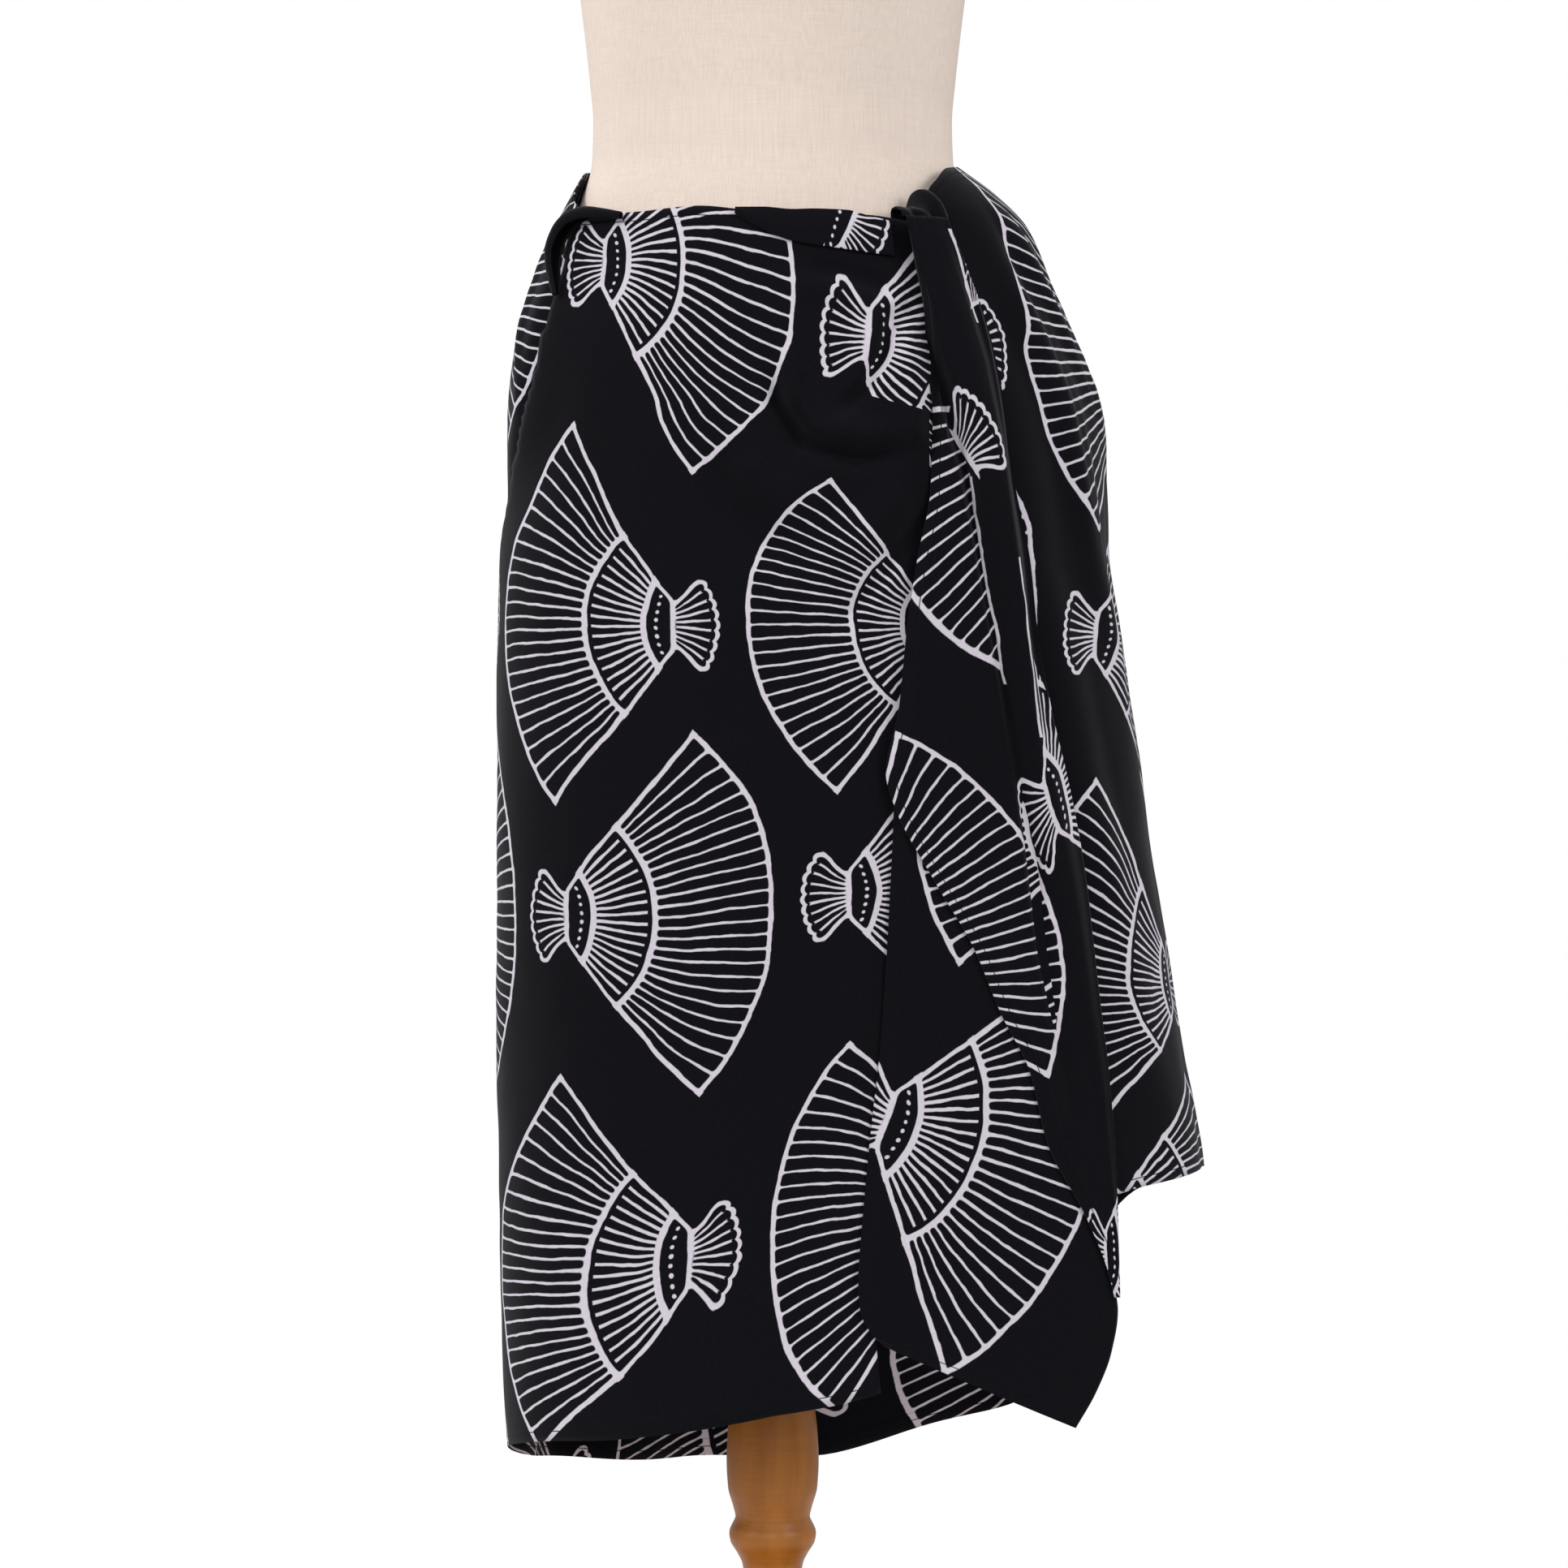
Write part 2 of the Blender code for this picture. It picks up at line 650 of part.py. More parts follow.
def make_waist_turnover(material):
    first, last = TURNOVER[0].bearing, TURNOVER[-1].bearing

    def place(u, v):
        bearing = first + (last - first) * u
        top = along(TURNOVER, bearing, "bearing", "top")
        foot = along(TURNOVER, bearing, "bearing", "foot")
        bulge = TURNOVER_BULGE * math.sin(math.pi * v)
        return on_wrap(bearing, top + (foot - top) * v, TURNOVER_LIFT + bulge)

    cloth_wall("waist_turnover", 14, 4, place, material)


def make_waist_knot(material):
    steps = stepped(KNOT)

    def place(u, v):
        height = along(steps, v, "step", "height")
        left = along(steps, v, "step", "left")
        right = along(steps, v, "step", "right")
        pleat = KNOT_PLEAT_RISE * math.sin(math.tau * KNOT_PLEATS * u) * (1 - v)
        lift = along(steps, v, "step", "lift") + pleat
        return on_front(left + (right - left) * u, height, lift)

    cloth_wall("waist_knot", 12, 10, place, material)


def main():
    for thing in list(bpy.data.objects):
        bpy.data.objects.remove(thing)
    cloth = new_material("Black rayon", BLACK_RAYON)
    linen = new_material("Cream linen", CREAM_LINEN)
    wood = new_material("Turned wood", TURNED_WOOD)
    make_side_panel(cloth)
    make_back_panel(cloth)
    make_front_panel(cloth)
    make_hip_fold(cloth)
    make_waist_turnover(cloth)
    make_waist_knot(cloth)
    make_tail_under(cloth)
    make_tail_over(cloth)
    ringed_solid("form_torso", [form_ring(row) for row in FORM], linen)
    ringed_solid("form_post", [turned_ring(row) for row in POST], wood)
    ringed_solid("form_base", [turned_ring(row) for row in BASE], wood)


main()
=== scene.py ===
"""The looks of a batik sarong tied round a linen dress form on a turned wooden post.

Metres, +Z up, as in the frame. A bearing of 0 degrees is +X, 90 is the back, 180 is -X and 270 the
front. The cloth is one wrap from its hidden inner end, round the back, to the deep fold beside the
tail, with the tail's two layers, the tie, the rolled hip fold and the rolled top edge over it.
"""

import math
from bisect import bisect_right
from collections import namedtuple

import bmesh
import bpy
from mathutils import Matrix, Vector, noise


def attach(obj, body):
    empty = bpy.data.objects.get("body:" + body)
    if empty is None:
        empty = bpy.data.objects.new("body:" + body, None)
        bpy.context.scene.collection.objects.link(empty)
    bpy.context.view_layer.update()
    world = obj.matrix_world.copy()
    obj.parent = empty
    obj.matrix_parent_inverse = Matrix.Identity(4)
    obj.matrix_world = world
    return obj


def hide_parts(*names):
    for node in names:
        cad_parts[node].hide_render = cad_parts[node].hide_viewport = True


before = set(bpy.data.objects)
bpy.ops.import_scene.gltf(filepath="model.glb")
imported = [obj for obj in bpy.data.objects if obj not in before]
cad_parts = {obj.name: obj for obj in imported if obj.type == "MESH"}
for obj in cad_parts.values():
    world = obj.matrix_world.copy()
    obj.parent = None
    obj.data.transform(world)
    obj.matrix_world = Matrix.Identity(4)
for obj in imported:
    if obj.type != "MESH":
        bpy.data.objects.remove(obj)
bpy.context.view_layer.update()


def table(columns, rows):
    """A table whose rows are read by the names of its columns."""
    Row = namedtuple("Row", columns)
    return tuple(Row(*row) for row in rows)


# Driving sizes of the cloth, with bearings in degrees
CLOTH_THICKNESS = 0.0008
FRONT_LIFT = 0.0045
FRONT_LIFT_STARTS = 185
FRONT_LIFT_RUN = 50
TAIL_UNDER_LIFT = 0.0085
TAIL_OVER_LIFT = 0.0125
SEAT = 0.0018
INNER_END = -84
MIDDLE_HEIGHT = 0.7
HEM_HEIGHT = 0.30
FRONT_START = 215
FRONT_SHARE = 0.56
TOP_DENSITY = 0.75
TURNED_SHARE = 0.7
CREASED_FROM = 220
CREASE_END = 0.25
SLOW_DRAPE = (0.070, 0.0014)
QUICK_DRAPE = (0.024, 0.0004)

# The photograph's camera: its place in metres, and its lens and sensor in millimetres.
CAMERA_PLACE = Vector((0.00784, -2.7, 0.71))
LENS = 89.84
SENSOR = 36
SKY_LOW, SKY_HIGH = 0.30, 0.80
FLOOR_RADIUS = 0.8
LIT_HEIGHT = 0.8

# The linen torso: half its width, and its reach to the front and to the back, at each height.
FORM = table("height side front back", (
    (0.8423, 0.118, 0.074, 0.080),
    (0.848, 0.143, 0.092, 0.098),
    (0.866, 0.160, 0.104, 0.112),
    (0.910, 0.1675, 0.110, 0.120),
    (0.965, 0.1665, 0.110, 0.119),
    (1.020, 0.157, 0.1055, 0.112),
    (1.065, 0.145, 0.1005, 0.102),
    (1.105, 0.1335, 0.0965, 0.0945),
    (1.139, 0.1245, 0.0940, 0.0895),
    (1.165, 0.1237, 0.0940, 0.0885),
    (1.195, 0.1262, 0.0965, 0.0905),
    (1.251, 0.1327, 0.1040, 0.0965),
    (1.310, 0.1410, 0.1180, 0.1030),
    (1.360, 0.1475, 0.1290, 0.1060),
    (1.405, 0.1515, 0.1240, 0.1070),
    (1.450, 0.1560, 0.1060, 0.1040),
    (1.485, 0.1560, 0.0880, 0.0940),
    (1.508, 0.1400, 0.0760, 0.0820),
    (1.524, 0.1090, 0.0660, 0.0700),
    (1.538, 0.0780, 0.0575, 0.0610),
    (1.556, 0.0570, 0.0510, 0.0540),
    (1.590, 0.0510, 0.0475, 0.0500),
    (1.598, 0.0460, 0.0430, 0.0450),
))

# The wrapped cloth: its reach from the axis to the left, right, front and back, at each height.
WRAP = table("height left right front back", (
    (0.200, 0.180, 0.300, 0.125, 0.137),
    (0.340, 0.186, 0.300, 0.125, 0.136),
    (0.444, 0.188, 0.295, 0.125, 0.136),
    (0.520, 0.1895, 0.2825, 0.125, 0.1355),
    (0.600, 0.190, 0.269, 0.125, 0.135),
    (0.700, 0.190, 0.2545, 0.125, 0.134),
    (0.790, 0.190, 0.242, 0.125, 0.133),
    (0.870, 0.1865, 0.230, 0.124, 0.132),
    (0.910, 0.182, 0.2285, 0.123, 0.131),
    (0.960, 0.1825, 0.224, 0.121, 0.128),
    (1.010, 0.1775, 0.209, 0.117, 0.122),
    (1.060, 0.162, 0.188, 0.111, 0.110),
    (1.090, 0.1515, 0.176, 0.107, 0.101),
    (1.113, 0.1395, 0.155, 0.1035, 0.094),
    (1.134, 0.127, 0.127, 0.100, 0.090),
))

# The cut edges of the wrap, from the hidden inner end, round the back, to the deep fold at the front.
EDGES = table("bearing top hem", (
    (-84, 1.080, 0.395),
    (-64, 1.082, 0.412),
    (-46, 1.113, 0.429),
    (-30, 1.127, 0.440),
    (0, 1.133, 0.446),
    (16, 1.132, 0.440),
    (29, 1.131, 0.424),
    (36, 1.130, 0.400),
    (45, 1.129, 0.325),
    (54, 1.128, 0.267),
    (68, 1.127, 0.247),
    (85, 1.127, 0.2245),
    (110, 1.128, 0.2225),
    (133, 1.130, 0.228),
    (167, 1.134, 0.2425),
    (180, 1.131, 0.252),
    (203, 1.103, 0.2636),
    (218, 1.092, 0.270),
    (232, 1.0915, 0.274),
    (246, 1.0934, 0.280),
    (262, 1.0885, 0.289),
    (281, 1.0875, 0.3047),
    (291, 1.083, 0.3226),
    (300, 1.079, 0.330),
))

# The line on the wearer's right hip where the front stretch folds over the back stretch, and the
# deep fold beside the tail, where the front stretch turns in.
HIP_CREASE = table("height bearing depth", (
    (0.200, 180, 0.0),
    (0.820, 180, 0.0),
    (0.870, 182, 0.0010),
    (0.919, 194, 0.0035),
    (0.950, 203, 0.0050),
    (1.008, 211, 0.0055),
    (1.046, 212, 0.0050),
    (1.100, 207, 0.0040),
    (1.134, 196, 0.0020),
))
CREASE_OVER_SHARE = 0.6
CREASE_OVER_WIDTH = 16
CREASE_UNDER_WIDTH = 9
VALLEY = table("height across", (
    (0.300, 0.0600),
    (0.3663, 0.0553),
    (0.425, 0.0591),
    (0.537, 0.0700),
    (0.638, 0.0768),
    (0.760, 0.0822),
    (0.820, 0.0887),
    (0.885, 0.1005),
    (0.971, 0.1025),
    (1.014, 0.1000),
    (1.055, 0.0890),
    (1.090, 0.0820),
))
VALLEY_TUCK = 0.012
VALLEY_RUN_IN = 0.020
VALLEY_SINK = 0.0020
VALLEY_TOP = 1.02
VALLEY_FADE = 0.10

# Large soft folds: each runs from one bearing and height to another and stands out, or sinks, by
# its rise.
WRAP_FOLDS = table("top_height top_bearing foot_height foot_bearing rise width", (
    (1.085, -52, 0.560, -27, 0.0065, 5.5),
    (1.110, -40, 0.800, -14, 0.0075, 5.0),
    (1.110, -26, 0.950, -4, 0.0055, 4.5),
    (1.110, 10, 0.440, 8, 0.0060, 5.0),
    (1.115, 24, 0.360, 38, -0.0100, 6.0),
    (1.115, 36, 0.300, 60, 0.0120, 6.5),
    (1.110, 52, 0.260, 84, -0.0095, 6.5),
    (1.110, 66, 0.240, 106, 0.0110, 7.0),
    (1.105, 84, 0.235, 128, -0.0080, 7.0),
    (1.090, 104, 0.235, 146, 0.0085, 7.0),
    (1.080, 150, 0.240, 165, -0.0050, 6.0),
    (1.050, 296, 0.900, 276, 0.0045, 5.0),
    (1.010, 297, 0.860, 286, 0.0040, 4.0),
))
FOLD_FADE = 0.3
OPEN_FOLD_FOOT = 0.5

# Finer creases over the large folds, by bearing, as uneven as the wrapped cloth shows them.
FINE_FOLDS = table("top_height top_bearing foot_height foot_bearing rise width", (
    (1.100, -58, 0.700, -44, -0.0022, 2.2),
    (1.115, -33, 0.880, -20, -0.0028, 1.8),
    (1.120, -20, 0.960, -9, -0.0024, 1.6),
    (1.125, -8, 0.900, 2, 0.0022, 2.0),
    (1.125, 18, 0.560, 24, 0.0026, 2.2),
    (1.120, 30, 0.700, 44, -0.0024, 2.0),
    (1.120, 44, 0.480, 68, -0.0026, 2.4),
    (1.118, 60, 0.820, 78, 0.0020, 2.0),
    (1.115, 78, 0.560, 100, -0.0024, 2.6),
    (1.110, 96, 0.760, 110, 0.0020, 2.2),
    (1.110, 118, 0.640, 132, -0.0022, 2.6),
    (1.100, 136, 0.860, 150, 0.0018, 2.4),
    (1.110, 160, 0.900, 172, 0.0022, 2.2),
    (1.115, 170, 0.940, 184, -0.0026, 2.0),
    (1.105, 186, 0.980, 198, 0.0030, 2.2),
))

# Creases on the front, each along a path of points across and up, in metres.
Crease = namedtuple("Crease", "rise width path")
FRONT_CREASES = (
    Crease(-0.0085, 0.0058, ((-0.0010, 0.9950), (0.0030, 0.9620), (0.0200, 0.9350), (0.0540, 0.9230),
                             (0.0920, 0.9300))),
    Crease(0.0065, 0.0085, ((0.0130, 0.9900), (0.0180, 0.9620), (0.0340, 0.9450), (0.0600, 0.9390),
                            (0.0900, 0.9470))),
    Crease(-0.0040, 0.0040, ((0.0180, 0.9840), (0.0210, 0.9640), (0.0370, 0.9430))),
    Crease(-0.0058, 0.0045, ((0.0790, 1.0200), (0.0755, 0.9960), (0.0620, 0.9700), (0.0450, 0.9560))),
    Crease(-0.0070, 0.0060, ((0.0960, 1.0280), (0.0850, 1.0200), (0.0780, 1.0080))),
    Crease(0.0060, 0.0080, ((0.0900, 1.0180), (0.0900, 0.9850), (0.0930, 0.9500), (0.0990, 0.9150))),
    Crease(-0.0040, 0.0050, ((0.1040, 0.8900), (0.0800, 0.8600), (0.0580, 0.8300), (0.0440, 0.8100))),
    Crease(0.0030, 0.0100, ((0.1020, 0.9100), (0.0760, 0.8880), (0.0500, 0.8640), (0.0300, 0.8500))),
    Crease(-0.0058, 0.0110, ((-0.0420, 0.9400), (-0.0290, 0.8960), (-0.0090, 0.8700), (0.0150, 0.8560))),
    Crease(0.0038, 0.0120, ((-0.0200, 0.9300), (-0.0040, 0.9060), (0.0240, 0.8940))),
    Crease(-0.0040, 0.0055, ((0.0180, 1.0520), (0.0450, 1.0480), (0.0700, 1.0400), (0.0870, 1.0340))),
    Crease(0.0028, 0.0080, ((0.0100, 1.0420), (0.0450, 1.0360), (0.0760, 1.0280))),
    Crease(-0.0016, 0.0120, ((-0.0860, 1.0600), (-0.0720, 1.0000), (-0.0620, 0.9500))),
    Crease(-0.0022, 0.0100, ((0.0900, 0.8500), (0.0700, 0.7900), (0.0620, 0.7200))),
    Crease(0.0018, 0.0130, ((0.0730, 0.7400), (0.0640, 0.6200), (0.0560, 0.4900), (0.0480, 0.3900))),
)
TAIL_CREASES = (
    Crease(-0.0065, 0.0042, ((0.0800, 1.0760), (0.0975, 1.0130), (0.1265, 0.9132), (0.1515, 0.7765),
                             (0.1640, 0.7000), (0.1760, 0.6000), (0.1960, 0.4900))),
    Crease(-0.0060, 0.0042, ((0.1080, 1.0860), (0.1230, 1.0450), (0.1390, 0.9900), (0.1500, 0.9300),
                             (0.1590, 0.8600), (0.1680, 0.7900), (0.1760, 0.7200))),
    Crease(0.0035, 0.0060, ((0.1000, 1.0700), (0.1150, 1.0200), (0.1380, 0.9300), (0.1560, 0.8300),
                            (0.1660, 0.7300))),
    Crease(-0.0020, 0.0050, ((0.1000, 0.9700), (0.1040, 0.9100), (0.1080, 0.8600), (0.1200, 0.8000))),
    Crease(0.0016, 0.0070, ((0.1000, 0.8200), (0.1150, 0.7600), (0.1360, 0.7000))),
    Crease(-0.0014, 0.0070, ((0.1500, 0.6600), (0.1700, 0.5800), (0.1900, 0.5000))),
)

# The tail's outline across the front. The over layer ends at its free edge on the left and turns
# under at the fold on the right.
TAIL_OVER = table("height free_edge fold", (
    (1.086, 0.0826, 0.1120),
    (1.055, 0.0900, 0.1250),
    (1.023, 0.0980, 0.1362),
    (0.990, 0.1010, 0.1450),
    (0.950, 0.1040, 0.1520),
    (0.906, 0.1030, 0.1581),
    (0.860, 0.0940, 0.1663),
    (0.810, 0.0868, 0.1720),
    (0.760, 0.0819, 0.1805),
    (0.7175, 0.0735, 0.1905),
    (0.6945, 0.0792, 0.1955),
    (0.6454, 0.1050, 0.2040),
    (0.6025, 0.1298, 0.2090),
    (0.5579, 0.1482, 0.2143),
    (0.5206, 0.1667, 0.2190),
    (0.4710, 0.1792, 0.2232),
    (0.4234, 0.2039, 0.2255),
    (0.3854, 0.2190, 0.2265),
    (0.3680, 0.2232, 0.2266),
))
TAIL_UNDER = table("left_height left right_height right", (
    (0.725, 0.0800, 0.725, 0.1790),
    (0.685, 0.0790, 0.685, 0.1880),
    (0.638, 0.0768, 0.628, 0.1975),
    (0.590, 0.0742, 0.560, 0.2060),
    (0.537, 0.0705, 0.500, 0.2130),
    (0.480, 0.0642, 0.440, 0.2175),
    (0.425, 0.0591, 0.395, 0.2200),
    (0.3850, 0.0562, 0.359, 0.2268),
    (0.3640, 0.0575, 0.3315, 0.2225),
    (0.3480, 0.0655, 0.3050, 0.2120),
    (0.3400, 0.0739, 0.2823, 0.1985),
))
UNDER_TURN_SHARE = 0.08
UNDER_TURN_IN = 0.0032
UNDER_DRAPE = 0.0025

# The black ridge that falls from the knot across the tail: where it starts, as a share of the
# tail's width from its left edge, and how far it stands out.
TAIL_RIDGE = table("height share rise", (
    (0.368, 0.88, 0.0),
    (0.520, 0.84, 0.0010),
    (0.640, 0.80, 0.0050),
    (0.776, 0.76, 0.0085),
    (0.860, 0.62, 0.0095),
    (0.943, 0.42, 0.0100),
    (1.010, 0.12, 0.0090),
    (1.086, 0.00, 0.0070),
))
RIDGE_CLIMB = 0.09
FREE_EDGE_TOP = 0.715
FREE_EDGE_FADE = 0.04
FREE_EDGE_SHARE = 0.50
FREE_EDGE_SETTLE = 0.0012
OVER_TURN_SHARE = 0.10
OVER_TURN_IN = 0.0040
FOLD_SHARE = 0.14
FOLD_SINK = 0.0015

# The rolled fold over the wearer's right hip: the path of its roll along the top edge.
HIP_FOLD = table("bearing height lift radius", (
    (231, 1.0885, 0.0064, 0.0026),
    (225, 1.0905, 0.0080, 0.0040),
    (219, 1.0920, 0.0092, 0.0050),
    (214, 1.0895, 0.0102, 0.0058),
    (211, 1.0825, 0.0108, 0.0062),
    (210, 1.0725, 0.0108, 0.0060),
    (211, 1.0615, 0.0100, 0.0052),
    (213.5, 1.0500, 0.0092, 0.0040),
    (216, 1.0390, 0.0082, 0.0028),
))
HIP_ROLL_OPENING = 110
ROLL_STEP = 0.02
OUTWARD_STEP = 0.01

# The strip of the top edge that is rolled over at the front, from its left tip to the knot.
TURNOVER = table("bearing top foot", (
    (261.0, 1.0915, 1.0875),
    (268.0, 1.0915, 1.0762),
    (274.3, 1.0900, 1.0686),
    (279.1, 1.0905, 1.0660),
    (285.9, 1.0900, 1.0632),
    (290.5, 1.0865, 1.0614),
    (295.0, 1.0835, 1.0600),
))
TURNOVER_LIFT = 0.0070
TURNOVER_BULGE = 0.0012

# The bunched cloth over the top edge at the tie, followed from the tail's top, over and inside.
KNOT = table("height lift left right", (
    (1.0866, 0.0130, 0.0826, 0.1115),
    (1.0960, 0.0120, 0.0820, 0.1080),
    (1.1035, 0.0080, 0.0815, 0.1040),
    (1.1070, 0.0020, 0.0812, 0.1015),
    (1.1050, -0.0045, 0.0812, 0.0995),
    (1.0970, -0.0080, 0.0815, 0.0985),
    (1.0850, -0.0085, 0.0820, 0.0985),
))
KNOT_PLEATS = 2.5
KNOT_PLEAT_RISE = 0.0026
KNOT_DIP = 0.013
KNOT_DIP_FROM, KNOT_DIP_TO = 0.52, 0.80

# The turned post, from its foot on the base to the torso: the radius at each height.
POST_TOP = 0.842
POST_FOOT = 0.052
POST = table("height radius", (
    (POST_FOOT, 0.0310),
    (0.066, 0.0330),
    (0.080, 0.0300),
    (0.088, 0.0215),
    (0.104, 0.0200),
    (0.132, 0.0255),
    (0.146, 0.0225),
    (0.160, 0.0196),
    (0.172, 0.0208),
    (0.182, 0.0255),
    (0.1875, 0.0290),
    (0.1940, 0.0300),
    (0.2000, 0.0278),
    (0.2045, 0.0256),
    (0.2120, 0.0272),
    (0.2250, 0.0308),
    (0.2430, 0.0318),
    (0.2630, 0.0310),
    (0.2900, 0.0270),
    (0.3200, 0.0215),
    (0.3600, 0.0180),
    (0.4400, 0.0172),
    (POST_TOP, 0.0172),
))
BASE_TOP = 0.0517
BASE = table("height radius", (
    (0.0, 0.1980),
    (0.0050, 0.2010),
    (0.0140, 0.2010),
    (0.0200, 0.1960),
    (0.0260, 0.1800),
    (0.0300, 0.1300),
    (0.0340, 0.0800),
    (0.0430, 0.0560),
    (BASE_TOP, 0.0500),
))


def eased(value):
    """A smooth rise from 0 to 1, level at both ends."""
    value = min(1.0, max(0.0, value))
    return value * value * (3 - 2 * value)


def hump(distance):
    """1 at the middle of a fold and 0 beyond its width."""
    return eased(1 - abs(distance))


def curve(rows, key, column):
    """A smooth curve through a table's column that never overshoots a row, as a function of its key."""
    pairs = sorted((getattr(row, key), getattr(row, column)) for row in rows)
    places = [pair[0] for pair in pairs]
    levels = [pair[1] for pair in pairs]
    last = len(places) - 1
    slopes = [(levels[n + 1] - levels[n]) / (places[n + 1] - places[n]) for n in range(last)]
    tangents = [slopes[0]]
    for before, after in zip(slopes, slopes[1:]):
        tangents.append(0.0 if before * after <= 0 else 2 * before * after / (before + after))
    tangents.append(slopes[-1])

    def read(value):
        if value <= places[0]:
            return levels[0]
        if value >= places[last]:
            return levels[last]
        i = bisect_right(places, value) - 1
        width = places[i + 1] - places[i]
        t = (value - places[i]) / width
        start = levels[i] * (1 + 2 * t) * (1 - t) ** 2 + tangents[i] * width * t * (1 - t) ** 2
        end = levels[i + 1] * t * t * (3 - 2 * t) + tangents[i + 1] * width * t * t * (t - 1)
        return start + end

    return read


def stepped(rows, column):
    """A column of a table as a smooth function of a step that goes from 0 at its first row to 1."""
    Step = namedtuple("Step", "step level")
    last = len(rows) - 1
    return curve([Step(n / last, getattr(row, column)) for n, row in enumerate(rows)], "step", "level")


form_reach = {side: curve(FORM, "height", side) for side in ("side", "front", "back")}
wrap_table = {side: curve(WRAP, "height", side) for side in ("left", "right", "front", "back")}
edge_top = curve(EDGES, "bearing", "top")
edge_hem = curve(EDGES, "bearing", "hem")
crease_bearing = curve(HIP_CREASE, "height", "bearing")
crease_depth = curve(HIP_CREASE, "height", "depth")
valley_across = curve(VALLEY, "height", "across")
tail_left = curve(TAIL_OVER, "height", "free_edge")
tail_right = curve(TAIL_OVER, "height", "fold")
ridge_share = curve(TAIL_RIDGE, "height", "share")
ridge_rise = curve(TAIL_RIDGE, "height", "rise")


def wrap_reach(height, side):
    """How far the cloth reaches towards one side, never closer than its seat on the torso."""
    reach = wrap_table[side](height)
    if height < FORM[0].height:
        return reach
    form_side = side if side in ("front", "back") else "side"
    return max(reach, form_reach[form_side](height) + SEAT)


def on_wrap(bearing, height, lift):
    """A point of the wrap at a bearing and height, moved out by the lift."""
    angle = math.radians(bearing)
    width = wrap_reach(height, "right" if math.cos(angle) > 0 else "left")
    depth = wrap_reach(height, "back" if math.sin(angle) > 0 else "front")
    outward = Vector((math.cos(angle) / width, math.sin(angle) / depth, 0)).normalized()
    return Vector((width * math.cos(angle), depth * math.sin(angle), height)) + outward * lift


def folds_rise(folds, bearing, height):
    """The soft folds of a table, added up at one place."""
    rise = 0.0
    for fold in folds:
        run = (fold.top_height - height) / (fold.top_height - fold.foot_height)
        if run < 0 or run > 1 + FOLD_FADE:
            continue
        middle = fold.top_bearing + (fold.foot_bearing - fold.top_bearing) * run
        fade = eased(run / FOLD_FADE) * (1 - eased((run - 1 + FOLD_FADE) / (2 * FOLD_FADE)))
        if fold.foot_height < OPEN_FOLD_FOOT:
            fade = eased(run / FOLD_FADE)
        rise += fold.rise * fade * hump((bearing - middle) / (2 * fold.width))
    return rise


def crease_rise(bearing, height):
    """The hip crease: the front stretch stands out beside it and the back stretch sinks under it."""
    away = bearing - crease_bearing(height)
    depth = crease_depth(height)
    if away >= 0:
        return CREASE_OVER_SHARE * depth * hump(away / CREASE_OVER_WIDTH)
    return -depth * hump(away / CREASE_UNDER_WIDTH)


def path_rise(creases, across, height):
    """The creases that follow a path across the front, faded out towards both ends of the path."""
    rise = 0.0
    for crease in creases:
        reach = 2 * crease.width
        acrosses, heights = zip(*crease.path)
        if not min(acrosses) - reach < across < max(acrosses) + reach:
            continue
        if not min(heights) - reach < height < max(heights) + reach:
            continue
        nearest, share, spans = reach, 0.0, len(crease.path) - 1
        for n in range(spans):
            (x0, z0), (x1, z1) = crease.path[n], crease.path[n + 1]
            run_x, run_z = x1 - x0, z1 - z0
            t = ((across - x0) * run_x + (height - z0) * run_z) / (run_x * run_x + run_z * run_z)
            t = min(1.0, max(0.0, t))
            away = math.hypot(across - x0 - run_x * t, height - z0 - run_z * t)
            if away < nearest:
                nearest, share = away, (n + t) / spans
        fade = eased(share / CREASE_END) * eased((1 - share) / CREASE_END)
        rise += crease.rise * (CREASE_END + (1 - CREASE_END) * fade) * hump(nearest / reach)
    return rise


def drape_noise(point, size, amount):
    """A slow unevenness of the cloth, of a given size and amount."""
    return amount * noise.noise(point / size)


def wrap_lift(bearing):
    """The front stretch lies over the inner end, so it stands further out."""
    return FRONT_LIFT * eased((bearing - FRONT_LIFT_STARTS) / FRONT_LIFT_RUN)


def wrap_place(bearing, height):
    """The finished surface of the wrap."""
    lift = wrap_lift(bearing) + folds_rise(WRAP_FOLDS, bearing, height) + crease_rise(bearing, height)
    lift += folds_rise(FINE_FOLDS, bearing, height)
    flat = on_wrap(bearing, height, lift)
    lift += drape_noise(flat, *SLOW_DRAPE) + drape_noise(flat, *QUICK_DRAPE)
    if bearing > CREASED_FROM:
        lift += path_rise(FRONT_CREASES, flat.x, height)
        sink = eased((flat.x - valley_across(height) + VALLEY_RUN_IN) / VALLEY_RUN_IN)
        lift -= VALLEY_SINK * sink * eased((VALLEY_TOP - height) / VALLEY_FADE)
    return on_wrap(bearing, height, lift)


def bearing_across(across, height):
    """The bearing of the point on the wrap's right front that lies this far across."""
    share = across / wrap_reach(height, "right")
    return 360 - math.degrees(math.acos(min(1.0, max(-1.0, share))))


def on_front(across, height, lift):
    return on_wrap(bearing_across(across, height), height, lift)


